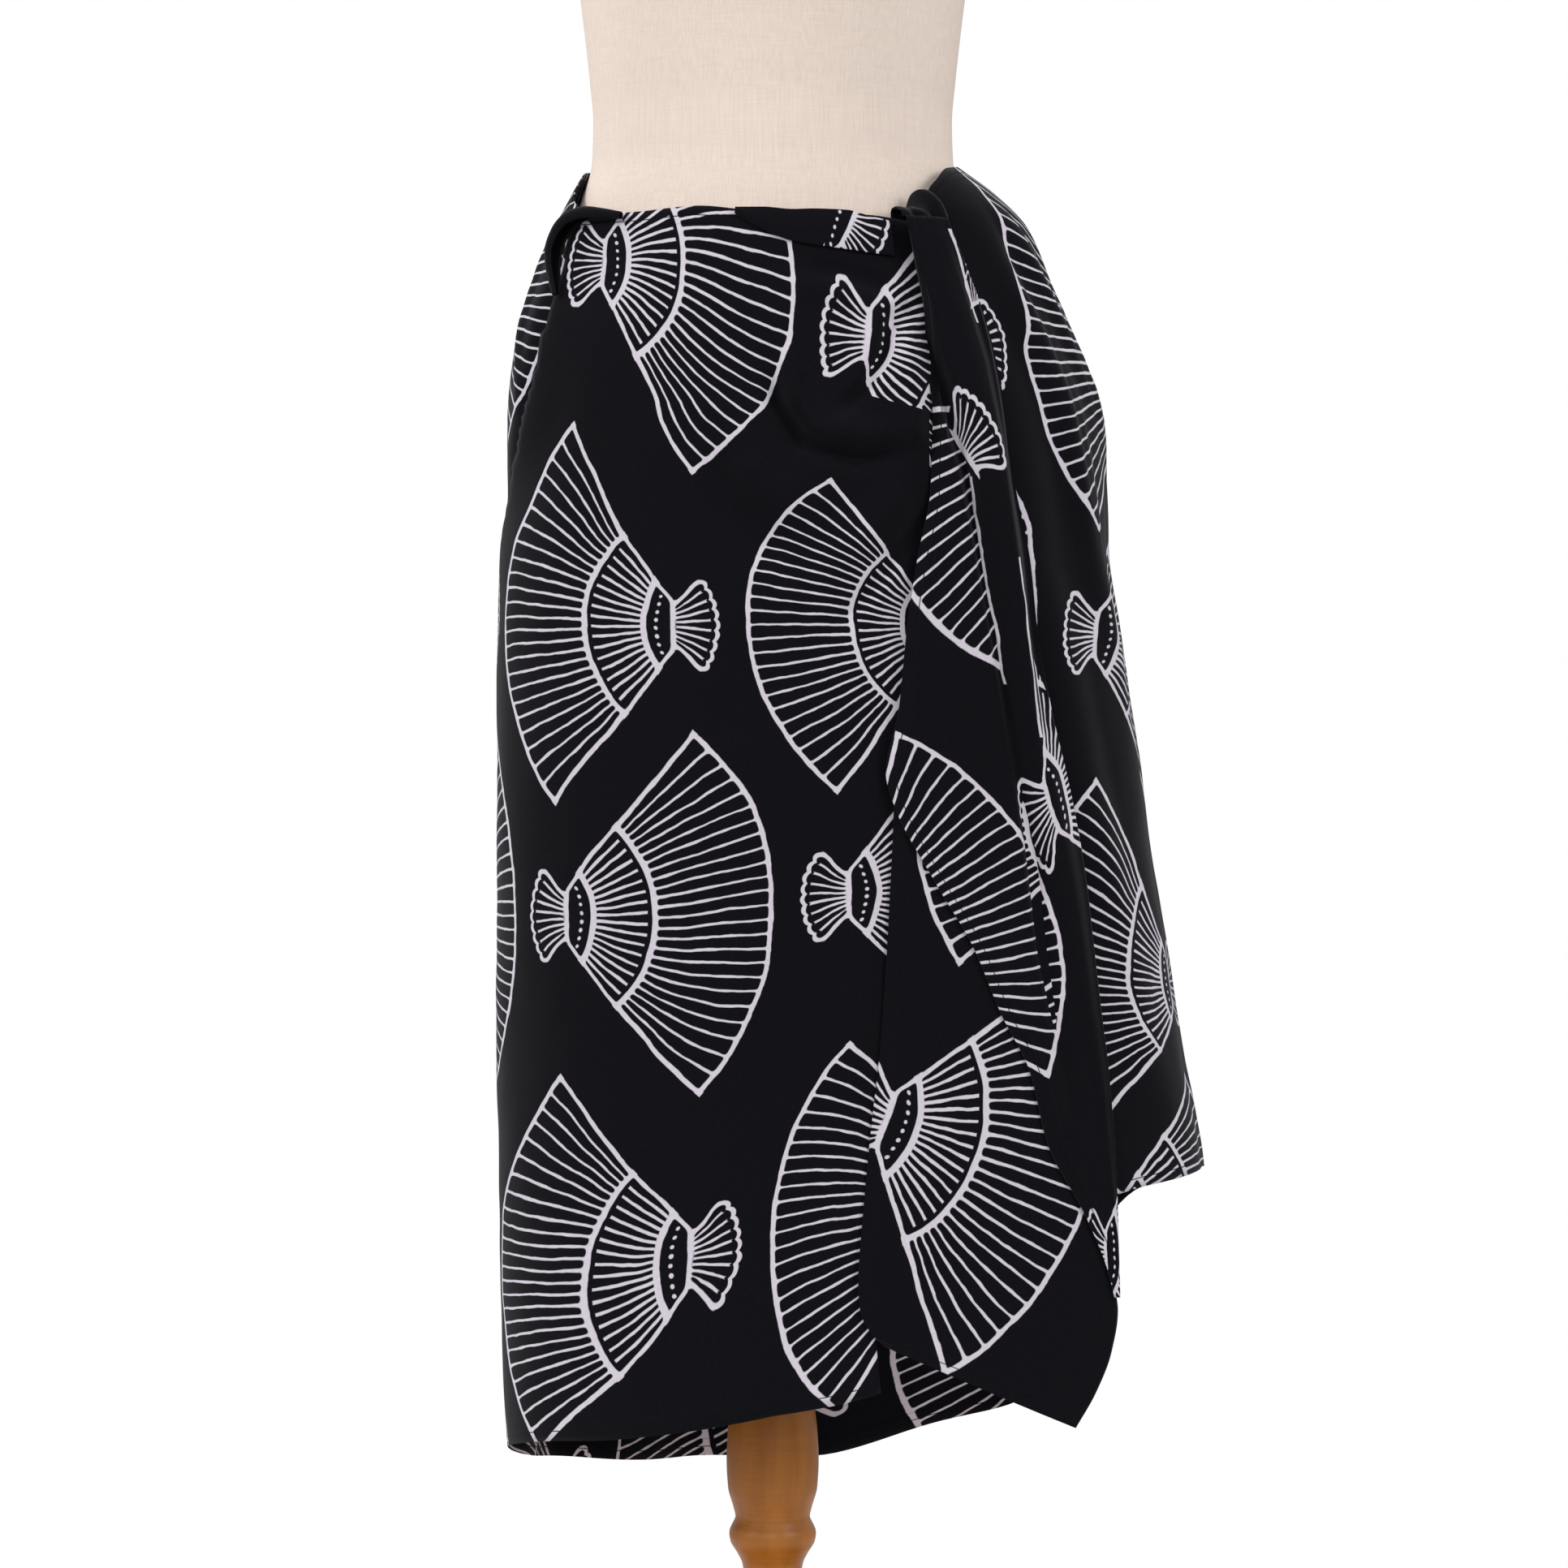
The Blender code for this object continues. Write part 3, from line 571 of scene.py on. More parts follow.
# Print: a folding fan in millimetres. Along is the way it opens, from the middle of its collar.
FAN_PITCH = 182.0
FAN_PERIOD = 432.0
FAN_BACK = -52.0
FAN_SIZE = 1.03
RIGHT_FAN = (-127.0, 622.0)
LEFT_FAN = (-73.0, 818.0)
GUARD_ANGLE = math.radians(52.2)
GUARD_APEX = -21.9
GUARD_LINE = 1.25
INNER_CENTRE, INNER_RADIUS, INNER_LINE = -31.5, 80.1, 1.6
OUTER_CENTRE, OUTER_RADIUS, OUTER_LINE = -51.8, 170.9, 1.35
COLLAR_CENTRE, COLLAR_RADIUS, COLLAR_LINE = -39.2, 48.9, 1.9
COLLAR_BACK, COLLAR_HALF = -9.6, 16.0
COLLAR_START = 1.4
BACK_LINE = 1.5
RIB_CELLS = 24
RIB_SPREAD = (math.radians(46.0), math.radians(44.3))
RIB_CROWDING = (0.16, -0.14)
RIB_PITCH = (5.7, 11.6)
RIB_LINE = 0.82
RAY_CELLS = 17
RAY_LINE = 0.86
RAY_GAP = 4.3
DOT_PITCH = 5.35
DOT_RADIUS = 1.2
DOT_REACH = 21.4
DOT_BEND = 3.7 / 350
DOT_START = 1.6
HANDLE_APEX = 16.0
HANDLE_LENGTH = 53.0
HANDLE_START = 27.0
HANDLE_FLARE = 27.0
HANDLE_SCALLOP = 1.6
HANDLE_SPREAD = (math.radians(27.0), math.radians(35.0))
HANDLE_CELLS = 9
HANDLE_LINE = 1.25
HANDLE_RAY = 0.72
HANDLE_CORNER = 9.0
HANDLE_GAP = 3.4
LINE_FILLET = 3.0

# A fan's own ground, in millimetres: its bow widens from the collar to the front by one slope and to
# the back by another, and it ends past the handle and past the outer line by a margin.
BOW_FRONT, BOW_SLOPE, BOW_WIDTH = 12.0, 1.35, 21.0
BOW_BACK_SLOPE, BOW_BACK_WIDTH = 0.74, 2.0
HANDLE_MARGIN = 4.5
OUTER_MARGIN = 9.0

# The wax line's unevenness: how many waves in a metre, and how far it strays in millimetres.
WAX_SHAKES = ((34.0, 3.4), (150.0, 0.8))
WORN_WAVES, WORN_INK = 75.0, 1.0
THREAD_WAVES = 420.0
INK_EDGE = 0.30
NO_FAN = 400.0

# The narrow hems, in millimetres from the cloth's cut edge.
HEM_WIDTH = 12.0
STITCH_INSIDE = 6.5
STITCH_WIDTH = (0.15, 0.50)
HEM_STEP = 0.8
STITCH_SINK = 1.2
NO_HEM = 90.0

# The hollow of the swirl, in metres across and up.
TUCK_LEFT, TUCK_RIGHT = 0.030, 0.104
TUCK_LOW, TUCK_HIGH, TUCK_SLOPE = 0.919, 0.9818, 0.25

# The stretch of the front hem that no fan reaches, in metres across and up.
BARE_LEFT, BARE_RIGHT, BARE_HIGH = -0.085, -0.020, 0.330

# Where the cloth is pulled out of its even lay, the print goes with it. These are the places of a
# fan's points, in millimetres, and the pixels at which the photograph shows them. A fan opens to the
# right (1) or to the left (-1), and stands in one column and row of the print. The columns below 0 are
# on the cloth's inner end. One mark is a guess: the fan that has only a high tip can't be seen, and
# its tip is kept low, at the bare stretch of the hem.
FAN_POINTS = {
    "collar": (0.0, 0.0),
    "handle": (-38.0, 0.0),
    "high petal": (-29.0, 29.0),
    "low petal": (-29.0, -29.0),
    "arc": (119.0, 0.0),
    "high arc": (109.6, 56.3),
    "low arc": (110.0, -54.9),
    "high tip": (70.6, 119.2),
    "low tip": (70.6, -119.2),
}
SeenFan = namedtuple("SeenFan", "opens column row marks")
SEEN_FANS = (
    SeenFan(1, 0, 1, {"collar": (757, 325), "handle": (707, 330), "arc": (980, 330), "low tip": (847, 588)}),
    SeenFan(-1, 0, 0, {"collar": (812, 762), "handle": (873, 775), "arc": (625, 762),
                       "high tip": (710, 512), "low tip": (683, 980)}),
    SeenFan(1, 0, 0, {"collar": (722, 1133), "handle": (650, 1133), "arc": (945, 1133),
                      "high tip": (860, 915), "low tip": (856, 1361)}),
    SeenFan(-1, 0, -1, {"collar": (825, 1560), "arc": (618, 1560),
                        "high tip": (693, 1320), "low tip": (665, 1783)}),
    SeenFan(1, 0, -1, {"high tip": (849, 1739)}),
    SeenFan(1, 1, 1, {"collar": (1090, 430), "high petal": (1039, 373), "low petal": (1003, 477)}),
    SeenFan(-1, 1, 0, {"collar": (1119, 775), "arc": (932, 760),
                       "high tip": (1020, 582), "low tip": (1046, 968)}),
    SeenFan(1, 1, 0, {"collar": (1055, 1095), "handle": (989, 1106)}),
    SeenFan(-1, 1, -1, {"collar": (1152, 1500), "arc": (965, 1500),
                        "high tip": (1058, 1268), "low tip": (1038, 1730)}),
    SeenFan(1, -4, 0, {"collar": (1367, 785), "handle": (1296, 785)}),
    SeenFan(-1, -4, -1, {"collar": (1440, 1215), "high tip": (1350, 954), "low tip": (1362, 1368)}),
    SeenFan(-1, -4, 0, {"high arc": (1247, 320), "arc": (1262, 430),
                        "low arc": (1282, 530), "low tip": (1355, 650)}),
)
PHOTO_SIZE = 1932

# Only cloth in front of this depth can be seen in the photograph, whose pixel is this wide on it.
# The flat cloth's inner end starts at the middle of the back.
SEEN_DEPTH = -0.02
PIXEL = 0.00054
MIDDLE_OF_BACK = -0.5

# A pull moves the print round one place, less and less up to about twice its reach.
Pull = namedtuple("Pull", "along height shift_along shift_up")
PULL_REACH = 0.085
PULL_REST = 0.03
PULL_ROUNDS = 2
PULL_GAIN = 0.5

# The cloth climbs as it goes round, so its inner end lies further along and higher in the print.
INNER_ALONG = 0.078
INNER_UP = -0.187
INNER_FROM = -0.870
INNER_FADE = 0.630

# The fans on the tail and the rolled edge, each by the middle of its collar, the way it opens in
# degrees, how far it is squeezed across and up, how far it is stretched along itself, how far along
# it shows, in millimetres, and whether the plain band on the tail hides it.
PlacedFan = namedtuple("PlacedFan", "across height turn squeeze_across squeeze_up stretch shown banded",
                       defaults=(1.0, 200, False))
TAIL_OVER_FANS = (
    PlacedFan(0.2368, 0.9475, 226, 1.0, 1.0, 1.5, 200, True),
    PlacedFan(0.1211, 0.9207, 225, 0.78, 1.16, 1.0, -8),
    PlacedFan(0.0657, 0.6006, 24, 1.0, 1.0),
    PlacedFan(0.1910, 0.7018, 35, 0.65, 1.2, 1.0, 30),
    PlacedFan(0.2271, 0.3969, 0, 0.50, 1.0),
    PlacedFan(0.1390, 1.0200, -80, 0.30, 1.0, 1.0, -8),
)
TAIL_UNDER_FANS = (
    PlacedFan(0.2184, 0.6992, 169, 1.0, 1.0),
    PlacedFan(0.0850, 0.4853, -20, 1.08, 1.16),
)
TURNOVER_FANS = (
    PlacedFan(0.0445, 1.0850, 152, 0.80, 1.0, 1.0, 3),
)
PLAIN_CLOTH = (
    PlacedFan(5.0, 5.0, 0, 1.0, 1.0, 1.0, -60),
)

# Lines drawn down the tail, in millimetres: the edge of the plain band in two straight stretches,
# and one beside the fold.
BAND_EDGE = ((100.6, 1013.0), (130.6, 913.2), (155.3, 776.5))
FOLD_LINE = ((165.0, 859.6), (178.2, 741.1))
LEAF_LINE = ((118.0, 1078.0), (139.0, 1016.0))
DRAWN_LINE = 0.9


class Reading:
    """A number in a tree of material nodes. Each sum or step on it adds a Math node."""

    def __init__(self, tree, socket):
        self.tree = tree
        self.socket = socket

    def math(self, operation, *values):
        node = self.tree.nodes.new("ShaderNodeMath")
        node.operation = operation
        for socket, value in zip(node.inputs, values):
            feed(self.tree, value, socket)
        return Reading(self.tree, node.outputs[0])

    def __add__(self, other):
        return self.math("ADD", self, other)

    def __sub__(self, other):
        return self.math("SUBTRACT", self, other)

    def __rsub__(self, other):
        return self.math("SUBTRACT", other, self)

    def __mul__(self, other):
        return self.math("MULTIPLY", self, other)

    def __truediv__(self, other):
        return self.math("DIVIDE", self, other)

    def size(self):
        return self.math("ABSOLUTE", self)

    def least(self, other):
        return self.math("MINIMUM", self, other)

    def most(self, other):
        return self.math("MAXIMUM", self, other)

    def joined(self, other):
        """The nearer of two lines, with a rounded fillet where they meet."""
        return self.math("SMOOTH_MIN", self, other, LINE_FILLET)

    def span(self, other):
        return (self * self + other * other).math("SQRT", self * self + other * other)

    def to_line(self):
        """The distance to the nearest whole number."""
        return self.math("PINGPONG", self, 0.5)

    def within(self, low, high):
        return self.math("WRAP", self, high, low)

    def rise(self, low, high):
        """A smooth step from 0 at low to 1 at high."""
        node = self.tree.nodes.new("ShaderNodeMapRange")
        node.interpolation_type = "SMOOTHSTEP"
        self.tree.links.new(self.socket, node.inputs["Value"])
        node.inputs["From Min"].default_value = low
        node.inputs["From Max"].default_value = high
        return Reading(self.tree, node.outputs["Result"])

    def between(self, start, end):
        """start where this is 0, end where it is 1."""
        node = self.tree.nodes.new("ShaderNodeMix")
        node.data_type = "FLOAT"
        feed(self.tree, self, node.inputs["Factor"])
        feed(self.tree, start, node.inputs["A"])
        feed(self.tree, end, node.inputs["B"])
        return Reading(self.tree, node.outputs["Result"])


def feed(tree, value, socket):
    if isinstance(value, Reading):
        tree.links.new(value.socket, socket)
    else:
        socket.default_value = value


def fan_field():
    """The fan's drawn lines as a node group: how far a place is from the nearest line, in millimetres."""
    group = bpy.data.node_groups.new("Folding fan lines", "ShaderNodeTree")
    for name in ("Along", "Across"):
        group.interface.new_socket(name, in_out="INPUT", socket_type="NodeSocketFloat")
    group.interface.new_socket("Distance", in_out="OUTPUT", socket_type="NodeSocketFloat")
    places = group.nodes.new("NodeGroupInput")
    x = Reading(group, places.outputs["Along"])
    y = Reading(group, places.outputs["Across"])
    ay = y.size()
    guard = ay * math.cos(GUARD_ANGLE) - (x - GUARD_APEX) * math.sin(GUARD_ANGLE)
    outer = (x - OUTER_CENTRE).span(y) - OUTER_RADIUS
    inner = (x - INNER_CENTRE).span(y) - INNER_RADIUS
    collar = (x - COLLAR_CENTRE).span(y) - COLLAR_RADIUS
    behind = COLLAR_BACK - x
    wedge = guard - GUARD_LINE

    guard_line = (guard.size() - GUARD_LINE).most(outer - OUTER_LINE).most(behind)
    outer_line = (outer.size() - OUTER_LINE).most(wedge).most(behind)
    inner_line = (inner.size() - INNER_LINE).most(wedge).most(behind)
    collar_line = (collar.size() - COLLAR_LINE).most(wedge).most(behind - COLLAR_START)
    back_line = (behind.size() - BACK_LINE).most(ay - COLLAR_HALF)

    share = (inner / (inner - outer)).least(1.0).most(0.0)
    turn_in = y.math("ARCTAN2", y, x - INNER_CENTRE) / RIB_SPREAD[0]
    turn_out = y.math("ARCTAN2", y, x - OUTER_CENTRE) / RIB_SPREAD[1]
    turn = share.between(turn_in, turn_out)
    crowding = share.between(RIB_CROWDING[0], RIB_CROWDING[1])
    rib = turn + crowding * (turn * turn * turn - turn)
    rib = (rib * (RIB_CELLS / 2) + RIB_CELLS / 2).to_line() * share.between(*RIB_PITCH) - RIB_LINE
    rib = rib.most(inner * -1.0).most(outer).most(guard)

    ray_turn = y.math("ARCTAN2", y, x - GUARD_APEX) * (RAY_CELLS / 2 / GUARD_ANGLE) + RAY_CELLS / 2
    ray = ray_turn.to_line() * (x - GUARD_APEX).span(y) * (2 * GUARD_ANGLE / RAY_CELLS) - RAY_LINE
    ray = ray.most(inner + RAY_GAP).most(collar * -1.0).most(guard)

    dot_side = (y / DOT_PITCH + 0.5).to_line() * DOT_PITCH
    dot_along = x - DOT_START + (y * y) * DOT_BEND
    dot = (dot_along.span(dot_side) - DOT_RADIUS).most(ay - DOT_REACH)

    back = HANDLE_APEX - x
    reach = back.span(y)
    spread = reach.rise(HANDLE_START, HANDLE_START + HANDLE_FLARE).between(*HANDLE_SPREAD)
    petal = y.math("ARCTAN2", y, back) / spread
    petal_line = (petal * (HANDLE_CELLS / 2) + HANDLE_CELLS / 2).to_line()
    scallop = 1.0 - petal_line * 2.0
    rim = reach - HANDLE_LENGTH - (1.0 - scallop * scallop) * HANDLE_SCALLOP
    side = (petal.size() - 1.0) * spread * reach
    edge = rim.math("SMOOTH_MAX", rim, side, HANDLE_CORNER)
    rim_line = edge.size() - HANDLE_LINE
    petal_ray = petal_line * spread * reach * (2 / HANDLE_CELLS) - HANDLE_RAY
    petal_ray = petal_ray.most(edge + HANDLE_GAP).most(HANDLE_START + 1 - reach)
    handle = rim_line.least(petal_ray).most(x - COLLAR_BACK)

    lines = outer_line.joined(guard_line).joined(inner_line).joined(rib)
    lines = lines.joined(collar_line).joined(back_line).joined(handle)
    lines = lines.least(ray).least(dot)
    result = group.nodes.new("NodeGroupOutput")
    feed(group, lines, result.inputs["Distance"])
    return group


def fan_reach(x, y):
    """Below 0 where a place may belong to this fan and not to its neighbour."""
    ahead = (x + BOW_FRONT) * BOW_SLOPE + BOW_WIDTH
    behind = (HANDLE_APEX - x) * BOW_BACK_SLOPE + BOW_BACK_WIDTH
    handle = ((HANDLE_APEX - x).span(y) - HANDLE_LENGTH - HANDLE_MARGIN).least(COLLAR_BACK - x)
    outer = (x - OUTER_CENTRE).span(y) - OUTER_RADIUS - OUTER_MARGIN
    return (y.size() - ahead.most(behind)).most(outer).most(handle)


def fan_distance(tree, group, x, y):
    node = tree.nodes.new("ShaderNodeGroup")
    node.node_tree = group
    feed(tree, x, node.inputs["Along"])
    feed(tree, y, node.inputs["Across"])
    return Reading(tree, node.outputs["Distance"])


def right_of(along, up, start, end):
    """How far a place lies to the right of a line that runs down from start to end."""
    run, fall = end[0] - start[0], start[1] - end[1]
    length = math.hypot(run, fall)
    return (along - start[0]) * (fall / length) + (up - start[1]) * (run / length)


def drawn_line(up, away, top, foot):
    return (away.size() - DRAWN_LINE).most(up - top).most(foot - up)


def tucked_in(tree):
    """Below 0 where the print leaves the cloth plain: in the hollow of the swirl, and low on the front."""
    places = tree.nodes.new("ShaderNodeSeparateXYZ")
    tree.links.new(tree.nodes.new("ShaderNodeTexCoord").outputs["Object"], places.inputs["Vector"])
    x, y, z = (Reading(tree, places.outputs[name]) for name in "XYZ")
    outside = (TUCK_LEFT - x).most(x - TUCK_RIGHT).most(TUCK_LOW - z).most(y)
    outside = outside.most(z + x * TUCK_SLOPE - TUCK_HIGH)
    return outside.least((BARE_LEFT - x).most(x - BARE_RIGHT).most(z - BARE_HIGH).most(y))


def texture(tree, kind, vector, **sockets):
    node = tree.nodes.new(kind)
    tree.links.new(vector, node.inputs["Vector"])
    set_sockets(node, **sockets)
    return node


def stretched(tree, vector, scale):
    node = tree.nodes.new("ShaderNodeMapping")
    tree.links.new(vector, node.inputs["Vector"])
    node.inputs["Scale"].default_value = scale
    return node.outputs["Vector"]


def hand_drawn(tree, cloth, x, y):
    """Shakes a place, so that the lines look drawn by hand with wax."""
    for waves, amount in WAX_SHAKES:
        source = texture(tree, "ShaderNodeTexNoise", cloth, Scale=waves, Detail=1.0)
        parts = tree.nodes.new("ShaderNodeSeparateColor")
        tree.links.new(source.outputs["Color"], parts.inputs["Color"])
        x = x + (Reading(tree, parts.outputs["Red"]) - 0.5) * amount
        y = y + (Reading(tree, parts.outputs["Green"]) - 0.5) * amount
    return x, y


def new_material(name):
    """A material, its node tree and its shader."""
    material = bpy.data.materials.new(name)
    material.use_nodes = True
    return material, material.node_tree, material.node_tree.nodes["Principled BSDF"]


def set_sockets(shader, **values):
    for name, value in values.items():
        shader.inputs[name.replace("_", " ")].default_value = value


def tint(tree, value, dark, light, start=0.0, end=1.0):
    """A colour that runs from dark to light as a value goes from start to end."""
    ramp = tree.nodes.new("ShaderNodeValToRGB")
    feed(tree, value, ramp.inputs["Fac"])
    for stop, position, colour in zip(ramp.color_ramp.elements, (start, end), (dark, light)):
        stop.position = position
        stop.color = (*colour, 1)
    return ramp.outputs["Color"]


def noise_value(tree, vector, scale, detail):
    grains = texture(tree, "ShaderNodeTexNoise", vector, Scale=scale, Detail=detail)
    return Reading(tree, grains.outputs["Fac"])


def bumped(tree, height, distance, strength, under=None):
    """A bump of a height, over another bump's normal where there is one."""
    bump = tree.nodes.new("ShaderNodeBump")
    set_sockets(bump, Distance=distance, Strength=strength)
    feed(tree, height, bump.inputs["Height"])
    if under:
        tree.links.new(under, bump.inputs["Normal"])
    return bump.outputs["Normal"]


def batik_material(name, group, fans=()):
    """Black rayon with the fan print: in rows on the wrap, or each fan placed by itself on the tail."""
    material, tree, shader = new_material(name)
    uv = tree.nodes.new("ShaderNodeUVMap")
    uv.uv_map = "Cloth"
    cloth = uv.outputs["UV"]
    places = tree.nodes.new("ShaderNodeSeparateXYZ")
    tree.links.new(cloth, places.inputs["Vector"])
    along = Reading(tree, places.outputs["X"]) * 1000.0
    up = Reading(tree, places.outputs["Y"]) * 1000.0
    along, up = hand_drawn(tree, cloth, along, up)
    hem = tree.nodes.new("ShaderNodeAttribute")
    hem.attribute_name = "Hem"
    hem = Reading(tree, hem.outputs["Fac"])
    if fans:
        x, y = NO_FAN, NO_FAN
        band = right_of(along, up, *BAND_EDGE[:2]).most(right_of(along, up, *BAND_EDGE[1:]))
        for fan in fans:
            angle = math.radians(fan.turn)
            right = (along - fan.across * 1000) / (fan.squeeze_across * FAN_SIZE)
            rise = (up - fan.height * 1000) / (fan.squeeze_up * FAN_SIZE)
            fan_x = (right * math.cos(angle) + rise * math.sin(angle)) / fan.stretch
            fan_y = rise * math.cos(angle) - right * math.sin(angle)
            inside = fan_reach(fan_x, fan_y).most(fan_x - fan.shown)
            if fan.banded:
                inside = inside.most(band)
            mine = inside.math("LESS_THAN", inside, 0.0)
            x, y = mine.between(x, fan_x), mine.between(y, fan_y)
    else:
        half = FAN_PERIOD / 2
        x = (along - RIGHT_FAN[0]).within(FAN_BACK, FAN_BACK + FAN_PITCH) / FAN_SIZE
        y = (up - RIGHT_FAN[1]).within(-half, half) / FAN_SIZE
        other_x = (LEFT_FAN[0] - along).within(FAN_BACK, FAN_BACK + FAN_PITCH) / FAN_SIZE
        other_y = (up - LEFT_FAN[1]).within(-half, half) / FAN_SIZE
        inside = fan_reach(other_x, other_y)
        mine = inside.math("LESS_THAN", inside, 0.0)
        x, y = mine.between(x, other_x), mine.between(y, other_y)
    distance = fan_distance(tree, group, x, y)
    if not fans:
        tucked = tucked_in(tree)
        distance = tucked.math("LESS_THAN", tucked, 0.0).between(distance, NO_FAN)
    if fans == TAIL_OVER_FANS:
        distance = distance.least(drawn_line(up, band, BAND_EDGE[1][1], BAND_EDGE[2][1]))
        for line_top, line_foot in (FOLD_LINE, LEAF_LINE):
            beside = right_of(along, up, line_top, line_foot)
            distance = distance.least(drawn_line(up, beside, line_top[1], line_foot[1]))
    thread = noise_value(tree, cloth, THREAD_WAVES, 2.0)
    distance = distance + (noise_value(tree, cloth, WORN_WAVES, 3.0) - 0.5) * WORN_INK
    ink = 1.0 - distance.rise(-INK_EDGE, INK_EDGE)
    ink = ink * (hem - STITCH_INSIDE).size().rise(*STITCH_WIDTH)
    colour = tree.nodes.new("ShaderNodeMix")
    colour.data_type = "RGBA"
    feed(tree, ink, colour.inputs["Factor"])
    black, white = [socket for socket in colour.inputs if socket.type == "RGBA"]
    tree.links.new(tint(tree, thread, (0.0026, 0.0025, 0.0040), (0.0054, 0.0053, 0.0078)), black)
    tree.links.new(tint(tree, thread, (0.54, 0.50, 0.56), (0.68, 0.64, 0.71)), white)
    mixed = next(socket for socket in colour.outputs if socket.type == "RGBA")
    tree.links.new(mixed, shader.inputs["Base Color"])
    set_sockets(shader, Roughness=0.82, Specular_IOR_Level=0.05, Sheen_Weight=0.150, Sheen_Roughness=0.40,
                Sheen_Tint=(0.75, 0.75, 0.80, 1))
    weave_height(tree, cloth, shader, hem)
    return material


def weave_height(tree, cloth, shader, hem):
    """The plain weave's fine threads as bump, with the doubled hem and the stitches that sink in it."""
    warp = texture(tree, "ShaderNodeTexWave", cloth, Scale=520.0, Distortion=1.2)
    weft = texture(tree, "ShaderNodeTexWave", cloth, Scale=520.0, Distortion=1.2)
    weft.bands_direction = "Y"
    threads = Reading(tree, warp.outputs["Fac"]) * 0.5 + Reading(tree, weft.outputs["Fac"]) * 0.5
    doubled = 1.0 - hem.rise(HEM_WIDTH - HEM_STEP, HEM_WIDTH + HEM_STEP)
    sunk = 1.0 - (hem - STITCH_INSIDE).size().rise(0.0, STITCH_SINK)
    weave = bumped(tree, threads, 0.00012, 0.5)
    tree.links.new(bumped(tree, doubled - sunk * 0.6, 0.0006, 0.8, weave), shader.inputs["Normal"])


def linen_material():
    """Cream linen with uneven upright threads."""
    material, tree, shader = new_material("Cream linen")
    place = tree.nodes.new("ShaderNodeTexCoord").outputs["Object"]
    upright = noise_value(tree, stretched(tree, place, (1, 1, 0.030)), 1050.0, 2.0)
    level = noise_value(tree, stretched(tree, place, (0.05, 0.05, 1)), 1150.0, 2.0)
    threads = upright * 0.65 + level * 0.35
    colour = tint(tree, threads, (0.70, 0.580, 0.505), (0.84, 0.725, 0.645), 0.25, 0.78)
    tree.links.new(colour, shader.inputs["Base Color"])
    set_sockets(shader, Roughness=0.9, Specular_IOR_Level=0.15)
    tree.links.new(bumped(tree, threads, 0.00025, 0.5), shader.inputs["Normal"])
    return material


def wood_material():
    """Golden brown varnished wood with upright grain, pores and the fine rings of its turning."""
    material, tree, shader = new_material("Varnished wood")
    place = tree.nodes.new("ShaderNodeTexCoord").outputs["Object"]
    grain = noise_value(tree, stretched(tree, place, (1, 1, 0.12)), 70.0, 3.0)
    pores = noise_value(tree, stretched(tree, place, (1, 1, 0.05)), 620.0, 2.0)
    rings = noise_value(tree, stretched(tree, place, (0.02, 0.02, 1)), 420.0, 3.0)
    figure = grain * 0.60 + pores * 0.15 + rings * 0.25
    colour = tint(tree, figure, (0.290, 0.096, 0.012), (0.460, 0.170, 0.024), 0.30, 0.72)
    tree.links.new(colour, shader.inputs["Base Color"])
    set_sockets(shader, Roughness=0.38, Specular_IOR_Level=0.35)
    tree.links.new(bumped(tree, figure, 0.0003, 0.35), shader.inputs["Normal"])
    return material


def floor_material():
    material, _, shader = new_material("Studio floor")
    set_sockets(shader, Base_Color=(0.82, 0.82, 0.82, 1), Roughness=0.9)
    return material


def laid_grid(across_steps, down_steps, place, hemmed=False):
    """A grid with its corners laid on place(u, v), and those corners in rows from the top."""
    grid = bmesh.new()
    if hemmed:
        grid.verts.layers.float.new("Hem")
    bmesh.ops.create_grid(grid, x_segments=across_steps, y_segments=down_steps, size=0.5)
    rows = [[None] * (across_steps + 1) for _ in range(down_steps + 1)]
    for corner in grid.verts:
        column = round((corner.co.x + 0.5) * across_steps)
        row = round((0.5 - corner.co.y) * down_steps)
        rows[row][column] = corner
    for row, corners in enumerate(rows):
        for column, corner in enumerate(corners):
            corner.co = place(column / across_steps, row / down_steps)
    return grid, rows


def finished_piece(name, mesh_maker, material, nodes):
    mesh = bpy.data.meshes.new(name)
    mesh_maker.to_mesh(mesh)
    mesh_maker.free()
    piece = bpy.data.objects.new(name, mesh)
    piece.data.materials.append(material)
    bpy.context.scene.collection.objects.link(piece)
    mesh.shade_smooth()
    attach(piece, "root")
    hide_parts(*nodes)
    return piece


def hem_distances(rows, sides):
    """How far each corner of the grid lies inside the hemmed sides, in millimetres."""
    columns = [list(column) for column in zip(*rows)]
    lines = {"top": columns, "hem": [line[::-1] for line in columns],
             "left": rows, "right": [line[::-1] for line in rows]}
    inside = {corner: NO_HEM for line in rows for corner in line}
    for side in sides:
        for line in lines[side]:
            run = 0.0
            for n, corner in enumerate(line):
                if n:
                    run += (corner.co - line[n - 1].co).length * 1000
                if run >= inside[corner] or run > NO_HEM:
                    break
                inside[corner] = run
    return inside


def cloth_piece(name, across_steps, down_steps, place, lay, hem_sides, material, nodes):
    """A sheet of cloth. lay gives each corner's place on the flat cloth, in metres."""
    grid, rows = laid_grid(across_steps, down_steps, place, hemmed=True)
    flat = {}
    lay(rows, flat)
    inside = grid.verts.layers.float["Hem"]
    for corner, distance in hem_distances(rows, hem_sides).items():
        corner[inside] = distance
    cloth = grid.loops.layers.uv.new("Cloth")
    for face in grid.faces:
        for loop in face.loops:
            loop[cloth].uv = flat[loop.vert]
    piece = finished_piece(name, grid, material, nodes)
    wall = piece.modifiers.new("Wall", "SOLIDIFY")
    wall.thickness = CLOTH_THICKNESS
    wall.offset = 0.0
    return piece


